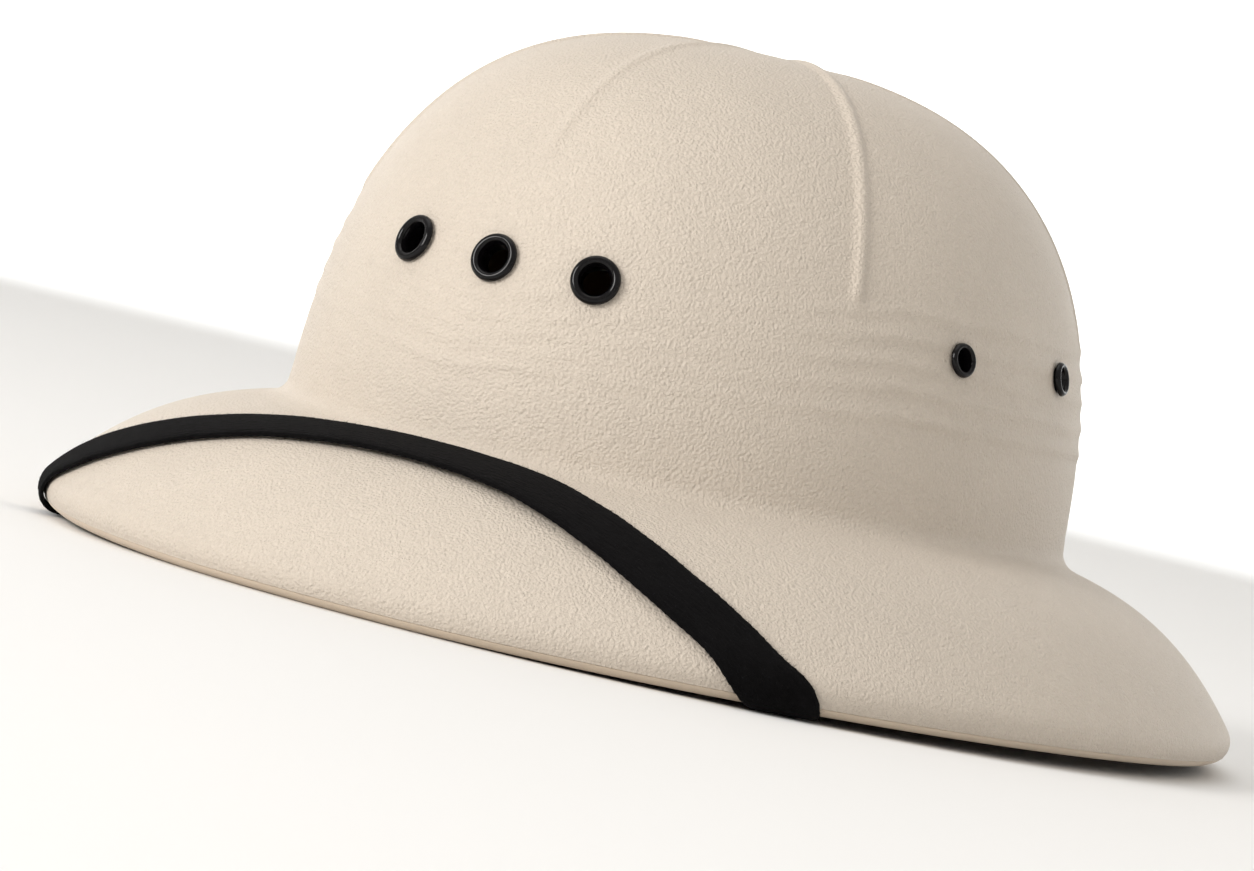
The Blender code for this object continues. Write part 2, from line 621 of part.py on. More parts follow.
def surface_walk():
    """Stations down the brim, round the lip and in under it, with their distances along the way."""
    last = lip_start_share()
    stations = []
    for step in range(WALK_FILLET_STEPS + 1):
        stations.append(junction_station(90.0 - (90.0 - JUNCTION_SLOPE) * step / WALK_FILLET_STEPS))
    for step in range(WALK_BRIM_STEPS + 1):
        share = WALK_BRIM_START + (last - WALK_BRIM_START) * step / WALK_BRIM_STEPS
        stations.append(brim_station(share))
    for step in range(1, WALK_LIP_STEPS + 1):
        stations.append(lip_station(RIM_SLOPE + (180.0 - RIM_SLOPE) * step / WALK_LIP_STEPS))
    centre_out, _ = lip_centre()
    for step in range(1, WALK_UNDER_STEPS + 1):
        stations.append(flat_station(centre_out - step * MM, 0.0, 0.0, -1.0))
    lengths = [0.0]
    for before, after in zip(stations, stations[1:]):
        step = math.hypot(after.half_width - before.half_width, after.height - before.height)
        lengths.append(lengths[-1] + step)
    return stations, [length - lengths[WALK_FILLET_STEPS] for length in lengths]


def station_at(walk, distance):
    """Station at a distance along the surface from the junction."""
    stations, lengths = walk
    index = min(max(bisect.bisect(lengths, distance) - 1, 0), len(stations) - 2)
    share = (distance - lengths[index]) / (lengths[index + 1] - lengths[index])
    share = min(1.0, max(0.0, share))
    pairs = zip(stations[index], stations[index + 1])
    return Station(*[low + share * (high - low) for low, high in pairs])


def smooth_row(rows, index, share):
    """Catmull-Rom reading of a table's row, column by column, between two of its rows."""
    before = rows[max(index - 1, 0)]
    start = rows[index]
    end = rows[index + 1]
    after = rows[min(index + 2, len(rows) - 1)]
    values = []
    for a, b, c, d in zip(before, start, end, after):
        curve = 2.0 * b + (c - a) * share
        curve += (2.0 * a - 5.0 * b + 4.0 * c - d) * share ** 2
        curve += (3.0 * b - a - 3.0 * c + d) * share ** 3
        values.append(0.5 * curve)
    return type(start)(*values)


def smooth_table(rows, steps):
    """Rows of a table read smoothly, with so many steps between each two."""
    read = []
    for index in range(len(rows) - 1):
        read += [smooth_row(rows, index, step / steps) for step in range(steps)]
    return read + [rows[-1]]


def strap_over_brim():
    """Cross-sections of the strap where it lies on the brim and round the lip."""
    walk = surface_walk()
    rows = smooth_table(STRAP_OVER_BRIM, STRAP_STEPS_PER_PLACE)
    sections = []
    for index, row in enumerate(rows):
        before = rows[max(index - 1, 0)]
        after = rows[min(index + 1, len(rows) - 1)]
        station = station_at(walk, row.distance)
        chord = place(row.angle + TURN_STEP, station) - place(row.angle - TURN_STEP, station)
        metres_per_degree = chord.length / (2.0 * TURN_STEP)
        along_angle = (after.angle - before.angle) * metres_per_degree
        along_distance = after.distance - before.distance
        length = math.hypot(along_angle, along_distance)
        inner, outer = [], []
        for share in STRAP_ACROSS:
            offset = 0.5 * share * STRAP_WIDTH
            angle = row.angle - offset * along_distance / length / metres_per_degree
            distance = row.distance + offset * along_angle / length
            there = station_at(walk, distance)
            base = place(angle, there)
            normal = out_normal(angle, there)
            inner.append(base + normal * (STRAP_GAP + row.lift))
            outer.append(base + normal * (STRAP_GAP + row.lift + row.thick))
        sections.append((inner, outer))
    return sections


def strap_inside(rows):
    """Cross-sections of the strap under the brim and up inside the head band."""
    points = []
    for row in rows:
        points.append(place(row.angle, flat_station(-row.inset, row.height, 1.0, 0.0)))
    sections = []
    for index, row in enumerate(rows):
        tangent = (points[min(index + 1, len(rows) - 1)] - points[max(index - 1, 0)]).normalized()
        inward = -out_normal(row.angle, crown_station(STRAP_FACE_LEVEL))
        facing = inward * row.face_in + Vector((0.0, 0.0, row.face_in - 1.0))
        facing += STRAP_LEAN_TOWARDS * row.lean
        facing = (facing - tangent * facing.dot(tangent)).normalized()
        across = tangent.cross(facing)
        inner = [points[index] + across * (0.5 * share * STRAP_WIDTH) for share in STRAP_ACROSS]
        outer = [point + facing * row.thick for point in inner]
        sections.append((inner, outer))
    return sections


def strap_mesh(surface):
    """The whole strap from one inner end over the brim to the other, as one ribbon."""
    left = strap_inside(STRAP_INSIDE_LEFT)
    sections = [(inner[::-1], outer[::-1]) for inner, outer in reversed(left)]
    sections += strap_over_brim() + strap_inside(STRAP_INSIDE_RIGHT)
    verts = []
    for inner, outer in sections:
        verts += inner + outer[::-1]
    around = 2 * len(STRAP_ACROSS)
    faces = ring_faces(len(sections), around)
    last = len(verts) - around
    for low in range(len(STRAP_ACROSS) - 1):
        high = around - 1 - low
        faces.append((low, low + 1, high - 1, high))
        faces.append((last + high, last + high - 1, last + low + 1, last + low))
    return add_object("chin_strap", verts, faces, surface, 50.0)


def tab_mesh(tab, surface):
    """Small three-cornered tab stitched on the head band beside a strap end."""
    station = crown_station(tab.height)._replace(up=0.0, out=1.0)
    centre = place(tab.angle, station, TAB_INSET)
    inward = -out_normal(tab.angle, station)
    side = Vector((0.0, 0.0, 1.0)).cross(inward).normalized()
    corners = (
        centre - side * (0.5 * TAB_WIDTH),
        centre + side * (0.5 * TAB_WIDTH),
        centre + Vector((0.0, 0.0, -TAB_DROP)),
    )
    verts = list(corners) + [corner + inward * TAB_THICK for corner in corners]
    faces = [(0, 1, 2), (5, 4, 3), (0, 3, 4, 1), (1, 4, 5, 2), (2, 5, 3, 0)]
    return add_object(tab.name, verts, faces, surface)


# ---------------------------------------------------------------- assembly

def clear_scene():
    """Remove every object of the scene."""
    for existing in list(bpy.data.objects):
        bpy.data.objects.remove(existing, do_unlink=True)


def build():
    """Model every sub-part."""
    clear_scene()
    cover_cloth = material("cover_cloth", (0.66, 0.58, 0.47), 0.85)
    edge_cloth = material("edge_cloth", (0.60, 0.52, 0.40), 0.80)
    band_cloth = material("band_cloth", (0.42, 0.33, 0.22), 0.90)
    strap_cloth = material("strap_cloth", (0.012, 0.011, 0.011), 0.95)
    black_enamel = material("black_enamel", (0.010, 0.009, 0.010), 0.18, 0.6)
    shell = shell_mesh(cover_cloth)
    punch_eyelet_holes(shell, cover_cloth)
    swept_band("rim_binding", binding_section(), edge_cloth)
    swept_band("sweatband", sweatband_section(), band_cloth)
    strap_mesh(strap_cloth)
    for tab in TABS:
        tab_mesh(tab, band_cloth)
    for eyelet in EYELETS:
        eyelet_mesh(eyelet, black_enamel)


build()
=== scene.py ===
"""Cloth, edging, head band, strap and eyelets of a sun helmet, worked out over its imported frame.

Units are metres and +Z is up. The wearer faces -Y. An angle round the helmet is in degrees from
the front (0) towards +X (90). Every surface is a grid of two parameters: the angle round the
helmet, and a place on the section that runs down the crown, over the brim and round the lip.
"""

import math
from collections import namedtuple

import bpy
import numpy as np
from mathutils import Matrix, Vector


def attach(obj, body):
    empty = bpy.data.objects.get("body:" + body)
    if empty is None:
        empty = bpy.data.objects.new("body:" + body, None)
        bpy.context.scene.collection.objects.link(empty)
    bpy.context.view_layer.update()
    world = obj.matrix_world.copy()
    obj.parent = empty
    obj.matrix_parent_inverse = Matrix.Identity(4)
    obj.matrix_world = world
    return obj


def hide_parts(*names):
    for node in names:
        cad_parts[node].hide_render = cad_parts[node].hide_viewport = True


bl_info = {
    "name": "Sun Helmet",
    "version": (1, 0, 0),
    "blender": (4, 5, 0),
    "location": "View3D > Sidebar > Sun Helmet",
    "description": "Builds the cloth cover, edging, head band, strap and eyelets of a sun helmet",
    "category": "Add Mesh",
}

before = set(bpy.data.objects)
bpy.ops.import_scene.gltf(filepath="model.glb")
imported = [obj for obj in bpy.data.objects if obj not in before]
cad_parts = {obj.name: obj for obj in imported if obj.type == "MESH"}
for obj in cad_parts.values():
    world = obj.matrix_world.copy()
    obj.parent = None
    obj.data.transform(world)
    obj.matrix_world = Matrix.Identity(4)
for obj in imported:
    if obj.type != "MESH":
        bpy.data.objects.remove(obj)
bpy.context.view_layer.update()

MM = 0.001

# ---- Crown and brim ----
CROWN_HALF_WIDTH = 91.2 * MM
CROWN_HALF_LENGTH = 111.9 * MM
CROWN_CENTRE_Y = -2.2 * MM
DOME_BASE = 27.6 * MM
DOME_TOP = 145.3 * MM
DOME_ROUNDNESS = 2.728
DOME_SHOULDER = 2.745
CROWN_FOOT = 47.5 * MM
RIM_HALF_WIDTH = 141.5 * MM
RIM_HALF_LENGTH = 165.0 * MM
FRONT_FULLNESS = 0.023
JUNCTION_HEIGHT = 38.4 * MM
JUNCTION_RADIUS = 5.0 * MM
JUNCTION_SLOPE = 12.0
RIM_SLOPE = 53.0
LIP_RADIUS = 5.0 * MM
LIP_SINK = 1.2 * MM
LIP_SEAM_ANGLE = 128.0
SIDE_LIFT = 3.0 * MM
FLAT_REST_ANGLE = 12.0
WALL = 2.4 * MM
COVER_THICK = 1.0 * MM
EDGING_THICK = 0.9 * MM
BRIM_WIDTH = RIM_HALF_WIDTH - CROWN_HALF_WIDTH
LIP_START = 1.0 - LIP_RADIUS * (1.0 - math.sin(math.radians(RIM_SLOPE))) / BRIM_WIDTH
LIP_CENTRE = BRIM_WIDTH - LIP_RADIUS
SeamFold = namedtuple("SeamFold", "past_seam rise")
COVER_FOLD = (
    SeamFold(-1.2, 0.09 * MM),
    SeamFold(-0.3, 0.06 * MM),
    SeamFold(0.1, -0.15 * MM),
    SeamFold(0.1, -1.0 * MM),
)

# ---- Ribs and pleats ----
RIB_ANGLES = (0.0, 54.0, 126.0, 180.0, 234.0, 306.0)
RIB_END = 91.5 * MM
FRONT_RIB_HIGHER_END = 18.0 * MM
FRONT_RIB_SHARE = 0.62
Pleat = namedtuple("Pleat", "front_height side_height ridge")
PLEATS = (
    Pleat(57.0 * MM, 68.0 * MM, 0.8),
    Pleat(61.0 * MM, 74.0 * MM, 0.7),
    Pleat(65.0 * MM, 80.0 * MM, 0.7),
    Pleat(69.0 * MM, 86.0 * MM, 0.7),
    Pleat(73.0 * MM, 92.0 * MM, 0.6),
)
PLEAT_RISE_ANGLE = 62.0
PLEAT_WANDER = 0.45 * MM

# ---- Eyelets ----
Eyelet = namedtuple("Eyelet", "name angle height flange bore")
EYELETS = (
    Eyelet("front_centre", 0.0, 82.4 * MM, 5.8 * MM, 3.4 * MM),
    Eyelet("front_left", 16.4, 82.6 * MM, 5.8 * MM, 3.4 * MM),
    Eyelet("front_right", -16.4, 82.6 * MM, 5.8 * MM, 3.4 * MM),
    Eyelet("side_left_fore", 73.0, 84.0 * MM, 4.1 * MM, 2.3 * MM),
    Eyelet("side_left_aft", 99.5, 85.0 * MM, 4.1 * MM, 2.3 * MM),
    Eyelet("side_right_fore", -73.0, 84.0 * MM, 4.1 * MM, 2.3 * MM),
    Eyelet("side_right_aft", -99.5, 85.0 * MM, 4.1 * MM, 2.3 * MM),
)
EYELET_SEAT = 0.35 * MM
EYELET_RISE = 1.3 * MM
EYELET_BARREL = 0.5 * MM
EYELET_CLINCH = 1.1 * MM
EYELET_BACK = 3.3 * MM
EYELET_HOLE_GAP = 0.4 * MM
EYELET_BORE_ROUNDING = 0.25 * MM
EYELET_CLINCH_DEPTH = 0.9 * MM
EYELET_SIDES = 56
HOLE_SIDES = 40
HOLE_REACH = 9.0 * MM
DIMPLE_DEPTH = 0.22 * MM

# ---- Head band and tabs ----
BAND_TOP = 65.0 * MM
BAND_WALL = 1.2 * MM
BAND_HEM = 0.35 * MM
BAND_LEVEL = 50.0 * MM
BAND_GAP = 0.45 * MM
Tab = namedtuple("Tab", "name angle height")
TABS = (Tab("left", 84.0, 48.0 * MM), Tab("right", -70.5, 50.0 * MM))
TAB_WIDTH = 10.0 * MM
TAB_DROP = 11.0 * MM
TAB_THICK = 1.0 * MM
TAB_INSET = 4.9 * MM
TAB_CORNER_REACH = 0.62 * TAB_WIDTH
TAB_RINGS = ((0.35, 1.0), (0.75, 0.98), (0.93, 0.85), (1.0, 0.5), (0.93, 0.12), (0.75, 0.0), (0.35, 0.0))

# ---- Strap: over the brim, and from the rim to each end; its tables are in degrees and millimetres ----
STRAP_GAP = 0.4 * MM
STRAP_STEPS = 620
STRAP_SIDES = 32
NOTCH_SPACING = 1.05 * MM
FIBRE_COUNT = 2600
FIBRE_SEED = 7
FIBRE_HALF_THICK = 0.028 * MM
FIBRE_UPPER_SHARE = 0.72
PRESSED_MM = 0.8
STRAP_LEAN_TOWARDS = (0.3, -0.95, 0.0)
StrapPlace = namedtuple("StrapPlace", "angle distance thick lift")
STRAP_OVER_BRIM = (
    StrapPlace(46.4, 67.2, PRESSED_MM, 0.0),
    StrapPlace(46.1, 65.0, PRESSED_MM, 0.0),
    StrapPlace(45.2, 62.0, PRESSED_MM, 0.0),
    StrapPlace(43.3, 58.5, 1.2, 0.0),
    StrapPlace(41.2, 54.0, 1.4, 0.1),
    StrapPlace(38.6, 48.0, 1.6, 0.1),
    StrapPlace(34.4, 39.8, 1.6, 0.3),
    StrapPlace(27.0, 27.0, 1.6, 1.0),
    StrapPlace(18.0, 15.5, 1.6, 1.4),
    StrapPlace(9.0, 9.2, 1.6, 0.9),
    StrapPlace(0.0, 7.5, 1.6, 0.7),
    StrapPlace(-9.0, 9.2, 1.6, 0.5),
    StrapPlace(-18.0, 14.8, 1.6, 0.3),
    StrapPlace(-27.0, 25.5, 1.6, 0.1),
    StrapPlace(-34.0, 36.0, 1.6, 0.1),
    StrapPlace(-39.0, 44.4, 1.6, 0.2),
    StrapPlace(-42.7, 51.5, 1.4, 0.3),
    StrapPlace(-45.2, 57.5, 1.2, 0.1),
    StrapPlace(-46.8, 61.8, PRESSED_MM, 0.0),
    StrapPlace(-47.6, 65.4, PRESSED_MM, 0.0),
    StrapPlace(-48.1, 68.4, PRESSED_MM, 0.0),
)
StrapHang = namedtuple("StrapHang", "angle inset height face_in lean thick")
STRAP_INSIDE_LEFT = (
    StrapHang(46.3, -42.0, 0.4, 0.0, 0.0, 0.9),
    StrapHang(46.4, -39.2, 2.3, 0.0, 0.0, 1.1),
    StrapHang(47.3, -35.8, 5.2, 0.0, 0.0, 1.2),
    StrapHang(49.5, -31.6, 8.8, 0.05, 0.0, 1.3),
    StrapHang(54.4, -25.0, 12.6, 0.10, 0.0, 1.3),
    StrapHang(62.5, -14.5, 16.4, 0.20, 0.0, 1.3),
    StrapHang(74.0, -5.0, 19.0, 0.40, 0.0, 1.3),
    StrapHang(84.0, 3.0, 20.0, 0.58, 0.0, 1.3),
    StrapHang(91.0, 7.8, 24.0, 0.92, 0.0, 1.3),
    StrapHang(97.0, 7.2, 28.4, 1.0, 0.0, 1.3),
    StrapHang(103.0, 6.6, 32.4, 1.0, 0.0, 1.3),
)
STRAP_INSIDE_RIGHT = (
    StrapHang(-47.9, -40.6, 0.9, 0.0, 0.06, 0.9),
    StrapHang(-47.9, -38.2, 3.3, 0.0, 0.15, 1.1),
    StrapHang(-48.3, -34.0, 7.4, 0.0, 0.22, 1.2),
    StrapHang(-49.2, -26.0, 13.8, 0.0, 0.24, 1.3),
    StrapHang(-50.1, -18.0, 19.9, 0.0, 0.24, 1.3),
    StrapHang(-51.0, -10.0, 25.8, 0.0, 0.24, 1.3),
    StrapHang(-51.5, -4.0, 30.2, 0.0, 0.22, 1.3),
    StrapHang(-51.9, 0.3, 33.3, 0.0, 0.20, 1.3),
)

# ---- Lining and edging by the lip, outward from its centre, and lining by the band, in millimetres ----
LiningPlace = namedtuple("LiningPlace", "outward height lift")
LINING_LIP = (
    LiningPlace(0.9, 4.4, 1.0),
    LiningPlace(0.2, 3.8, 1.0),
    LiningPlace(-0.4, 3.35, 1.0),
    LiningPlace(-0.95, 2.8, 1.0),
    LiningPlace(-1.25, 3.3, 1.0),
    LiningPlace(-1.3, 4.6, 1.0),
    LiningPlace(-1.0, 6.3, 1.0),
)
LINING_DIP = (
    LiningPlace(2.6, 34.2, 0.8),
    LiningPlace(1.3, 33.1, 0.55),
    LiningPlace(0.1, 32.1, 0.3),
    LiningPlace(-1.0, 31.2, 0.1),
    LiningPlace(-1.9, 31.0, 0.0),
    LiningPlace(-2.45, 33.0, 0.0),
    LiningPlace(-2.4, 38.0, 0.0),
)
EdgingPlace = namedtuple("EdgingPlace", "outward height")
EDGING_FOOT = (
    EdgingPlace(1.2, 0.0),
    EdgingPlace(0.4, 0.0),
    EdgingPlace(-0.4, 0.0),
    EdgingPlace(-0.8, 0.25),
    EdgingPlace(-1.05, 1.0),
    EdgingPlace(-0.8, 2.4),
    EdgingPlace(-0.1, 3.4),
)
LINING_PADDING = 1.1 * MM
LINING_BACK_DEPTH = COVER_THICK + 0.35 * MM

# ---- Columns round the helmet ----
COVER_COLUMNS = 560
LINING_COLUMNS = 360
EDGING_COLUMNS = 480
BAND_COLUMNS = 420

# ---- Marks, worn colours and painted shade ----
Stain = namedtuple("Stain", "angle reach")
STAINS = (
    Stain(-99.0, 15.0 * MM),
    Stain(-106.0, 17.0 * MM),
    Stain(-111.0, 13.0 * MM),
    Stain(-139.0, 15.0 * MM),
    Stain(113.0, 13.0 * MM),
    Stain(104.0, 11.0 * MM),
)
STAIN_LIP_ANGLE = 172.0
STAIN_SHARE = 0.95
STAIN_COLOUR = (0.25, 0.13, 0.065)
# painted shade: near-black red-brown standing for the shade deep inside the crown
CROWN_PAINTED_SHADE_COLOUR = (0.060, 0.020, 0.012)
WORN_LINE_COLOUR = (0.36, 0.17, 0.07)
LINT_COLOUR = (0.050, 0.052, 0.068)
RUBBED_COLOUR = (0.040, 0.032, 0.032)
DARK_SPECK = (89.2 * MM, -46.9 * MM, 47.0 * MM)

# ---- Heights and widths between which a finish changes ----
# heights over which the cover grows darker towards the bottom, down the lip
LOW_DARKENING_HEIGHTS = (13.0 * MM, 4.0 * MM)
EDGE_STAIN_HEIGHTS = (9.0 * MM, 3.0 * MM)
CROWN_LINING_HEIGHTS = (40.0 * MM, 52.0 * MM)
# heights over which the crown lining darkens to painted shade
CROWN_PAINTED_SHADE_HEIGHTS = (84.0 * MM, 98.0 * MM)
# widths over which the lining is made paler towards -X as painted light
LINING_PAINTED_LIGHT_WIDTHS = (-5.0 * MM, -110.0 * MM)
# heights over which the head band darkens downwards as painted shade
BAND_PAINTED_SHADE_HEIGHTS = (42.0 * MM, 31.0 * MM)
BAND_TOP_LINE = (63.4 * MM, 64.0 * MM)
BAND_LINE_BELOW = (59.2 * MM, 59.7 * MM)
BAND_LINE_ABOVE = (60.4 * MM, 59.9 * MM)

# ---- Camera, from the fit of the photograph ----
CAMERA_AZIMUTH = 29.7
CAMERA_ELEVATION = 1.5
CAMERA_ROLL = 13.2
CAMERA_DISTANCE = 1.28
CAMERA_LENS_MM = 150.2
SENSOR_MM = 36.0
PICTURE_WIDTH = 1254
PICTURE_HEIGHT = 871
ORIGIN_IN_PICTURE = (645.0, 640.0)

# ---- Floor, just under the cloth's soft underside, and the room's light ----
FLOOR_CLEARANCE = 0.15 * MM
FLOOR_RINGS = (0.25, 0.5, 1.0, 1.8, 2.7, 3.6)
FLOOR_BEND_RADIUS = 3.0
FLOOR_LAST_BEND = 82.0
FLOOR_SIDES = 144
FLOOR_COLOUR = (0.86, 0.855, 0.845)
ROOM_STRENGTH = 0.66
ROOM_COLOUR = (1.0, 0.972, 0.935, 1.0)
Light = namedtuple("Light", "name place aim size power colour")
LIGHTS = (
    Light("front_window", (-0.85, -2.15, 1.0), (0.0, 0.0, 0.06), 1.0, 41.0, (1.0, 0.985, 0.965)),
    Light("top_panel", (-0.4, -0.3, 2.2), (0.0, 0.0, 0.0), 1.6, 8.0, (1.0, 0.985, 0.96)),
    Light("wall_left", (-2.6, 1.6, 1.9), (-3.6, 4.4, 1.0), 1.5, 150.0, (0.94, 0.975, 1.0)),
    Light("wall_right", (0.8, 2.4, 1.9), (0.6, 5.4, 1.0), 1.5, 150.0, (0.94, 0.975, 1.0)),
)


# ---------------------------------------------------------------- sizes and colours a user may change

LENGTH = {"subtype": "DISTANCE", "unit": "LENGTH"}
COLOUR = {"subtype": "COLOR", "min": 0.0, "max": 1.0}


class HelmetSizes(bpy.types.PropertyGroup):
    """Sizes of the cloth's relief and of the strap."""
    rib_height: bpy.props.FloatProperty(
        name="Rib height", description="How far the seam ribs stand over the dome",
        default=0.9 * MM, min=0.0, **LENGTH)
    rib_width: bpy.props.FloatProperty(
        name="Rib width", description="Width of a seam rib at its foot",
        default=4.2 * MM, min=1.0 * MM, **LENGTH)
    pleat_relief: bpy.props.FloatProperty(
        name="Pleat relief", description="Height of the strongest moulded pleat",
        default=0.70 * MM, min=0.0, **LENGTH)
    strap_width: bpy.props.FloatProperty(
        name="Strap width", description="Width of the black strap",
        default=13.0 * MM, min=4.0 * MM, **LENGTH)
    strap_fringe: bpy.props.FloatProperty(
        name="Strap fringe", description="Length of the longest loose fibres on the strap's edge",
        default=1.1 * MM, min=0.0, **LENGTH)
    crepe_grain: bpy.props.FloatProperty(
        name="Crepe grain", description="Size of the pebbles in the cover cloth",
        default=0.70 * MM, min=0.1 * MM, **LENGTH)


class HelmetColours(bpy.types.PropertyGroup):
    """Colours of the helmet's cloths and enamel."""
    cover: bpy.props.FloatVectorProperty(
        name="Cover", description="Cover cloth of the crown and brim",
        default=(0.662, 0.580, 0.490), **COLOUR)
    edging: bpy.props.FloatVectorProperty(
        name="Edging", description="Folded edging round the lip",
        default=(0.66, 0.55, 0.43), **COLOUR)
    lining: bpy.props.FloatVectorProperty(
        name="Lining", description="Lining under the brim",
        default=(0.545, 0.418, 0.288), **COLOUR)
    crown_lining: bpy.props.FloatVectorProperty(
        name="Crown lining", description="Lining inside the crown, over the head band",
        default=(0.30, 0.185, 0.095), **COLOUR)
    band: bpy.props.FloatVectorProperty(
        name="Head band", description="Cloth of the head band",
        default=(0.315, 0.178, 0.084), **COLOUR)
    strap: bpy.props.FloatVectorProperty(
        name="Strap", description="Brushed cloth of the strap",
        default=(0.0045, 0.0042, 0.0045), **COLOUR)
    enamel: bpy.props.FloatVectorProperty(
        name="Enamel", description="Enamel of the eyelets",
        default=(0.003, 0.0025, 0.003), **COLOUR)


# ---------------------------------------------------------------- the helmet's section

Section = namedtuple("Section", "half_width half_length centre_y fullness height out up lift")


def smooth_step(value, low, high):
    """0 below low, 1 above high, and 3s^2 - 2s^3 between, with s the share of the way."""
    share = np.clip((value - low) / (high - low), 0.0, 1.0)
    return share * share * (3.0 - 2.0 * share)


def section_of(*columns):
    """Section whose fields are arrays of one length."""
    return Section(*[np.array(c, float) for c in np.broadcast_arrays(*columns)])


def joined(*sections):
    """Sections one after the other."""
    return Section(*[np.concatenate(fields) for fields in zip(*sections)])


def dome_rows(first, last, count):
    """Crown section at even steps of arc between two heights.

    The half section is a superellipse: radius share^a + height share^b = 1, walked by an angle w
    with radius share cos(w)^(2/a) and height share sin(w)^(2/b). The outward normal is its gradient.
    """
    walk = np.linspace(0.0, 0.5 * np.pi, 6001)[1:-1]
    ratio = np.cos(walk) ** (2.0 / DOME_ROUNDNESS)
    share = np.sin(walk) ** (2.0 / DOME_SHOULDER)
    mean = 0.5 * (CROWN_HALF_WIDTH + CROWN_HALF_LENGTH)
    rise = DOME_TOP - DOME_BASE
    arc = np.concatenate([[0.0], np.cumsum(np.hypot(np.diff(ratio) * mean, np.diff(share) * rise))])
    ends = np.interp([(first - DOME_BASE) / rise, (last - DOME_BASE) / rise], share, arc)
    turn = np.interp(np.linspace(ends[0], ends[1], count), arc, walk)
    ratio = np.cos(turn) ** (2.0 / DOME_ROUNDNESS)
    share = np.sin(turn) ** (2.0 / DOME_SHOULDER)
    out = DOME_ROUNDNESS * ratio ** (DOME_ROUNDNESS - 1.0) / mean
    up = DOME_SHOULDER * share ** (DOME_SHOULDER - 1.0) / rise
    size = np.hypot(out, up)
    return section_of(CROWN_HALF_WIDTH * ratio, CROWN_HALF_LENGTH * ratio, CROWN_CENTRE_Y, 0.0,
                      DOME_BASE + share * rise, out / size, up / size, 0.0)


def crown_at(height):
    """Crown section at one height, as a section of one row."""
    return Section(*[field[:1] for field in dome_rows(height, height - 0.01 * MM, 2)])


def flat_section(outward, height, out, up):
    """Section outside the crown wall: plan ellipses that grow evenly from the crown's to the rim's."""
    outward = np.asarray(outward, float)
    share = outward / BRIM_WIDTH
    return section_of(CROWN_HALF_WIDTH + outward,
                      CROWN_HALF_LENGTH + share * (RIM_HALF_LENGTH - CROWN_HALF_LENGTH),
                      CROWN_CENTRE_Y * (1.0 - share), FRONT_FULLNESS * share, height, out, up, 1.0)


def brim_rows(share):
    """Brim section: a cubic in the share of the brim's width, with the junction's and rim's slopes."""
    share = np.asarray(share, float)
    start = BRIM_WIDTH * math.tan(math.radians(JUNCTION_SLOPE))
    end = BRIM_WIDTH * math.tan(math.radians(RIM_SLOPE))
    drop = JUNCTION_HEIGHT - LIP_RADIUS * (1.0 + math.cos(math.radians(RIM_SLOPE))) + LIP_SINK
    square = 3.0 * drop - 2.0 * start - end
    cube = start + end - 2.0 * drop
    height = JUNCTION_HEIGHT - start * share - square * share ** 2 - cube * share ** 3
    slope = np.arctan((start + 2.0 * square * share + 3.0 * cube * share ** 2) / BRIM_WIDTH)
    return flat_section(BRIM_WIDTH * share, height, np.sin(slope), np.cos(slope))


def lip_rows(angle):
    """Lip section: an arc whose angle is 90 straight out and 180 straight down."""
    turn = np.radians(angle)
    return flat_section(LIP_CENTRE + LIP_RADIUS * np.sin(turn), LIP_RADIUS * (1.0 + np.cos(turn)),
                        np.sin(turn), np.cos(turn))


def junction_rows(angle):
    """Hollow arc between crown and brim: 90 on the crown wall, the junction's slope on the brim."""
    slope = math.radians(JUNCTION_SLOPE)
    turn = np.radians(angle)
    rise = math.cos(slope) - (1.0 - math.sin(slope)) * math.tan(slope)
    centre = JUNCTION_HEIGHT + JUNCTION_RADIUS * rise
    return flat_section(JUNCTION_RADIUS * (1.0 - np.sin(turn)), centre - JUNCTION_RADIUS * np.cos(turn),
                        np.sin(turn), np.cos(turn))


def rim_lift(angle):
    """Rise of the brim at the sides, none over the flat stretches at front and back."""
    flat = math.sin(math.radians(FLAT_REST_ANGLE)) ** 2
    return SIDE_LIFT * np.maximum(0.0, np.sin(np.radians(angle)) ** 2 - flat) / (1.0 - flat)


def place(angle, section, depth=0.0):
    """Points at angles round the helmet, a depth under a section: an ellipse with a fuller front."""
    turn = np.radians(angle)
    across = (section.half_width - depth * section.out) * np.sin(turn)
    along = (section.half_length - depth * section.out) * np.cos(turn)
    return np.stack(np.broadcast_arrays(
        across * (1.0 + section.fullness * np.cos(turn)),
        section.centre_y - along,
        section.height - depth * section.up + section.lift * rim_lift(angle)), axis=-1)


def out_normal(angle, section):
    """Outward normal: level direction square to the plan curve, tipped up by the section's slope."""
    step = 0.5
    along = place(angle + step, section) - place(angle - step, section)
    level = np.stack([along[..., 1], -along[..., 0], np.zeros_like(along[..., 0])], axis=-1)
    level /= np.linalg.norm(level, axis=-1, keepdims=True)
    rise = np.zeros_like(level)
    rise[..., 2] = 1.0
    normal = level * np.asarray(section.out)[..., None] + rise * np.asarray(section.up)[..., None]
    return normal / np.linalg.norm(normal, axis=-1, keepdims=True)


def column(section):
    """Section as a column, ready to spread over a row of angles."""
    return Section(*[field[:, None] for field in section])


def turn_from(angle, line=0.0):
    """Degrees from a line round the helmet, -180 to 180."""
    return (angle - line + 180.0) % 360.0 - 180.0


# ---------------------------------------------------------------- meshes

def linked(name, data):
    """New object in the scene."""
    made = bpy.data.objects.new(name, data)
    bpy.context.scene.collection.objects.link(made)
    return made


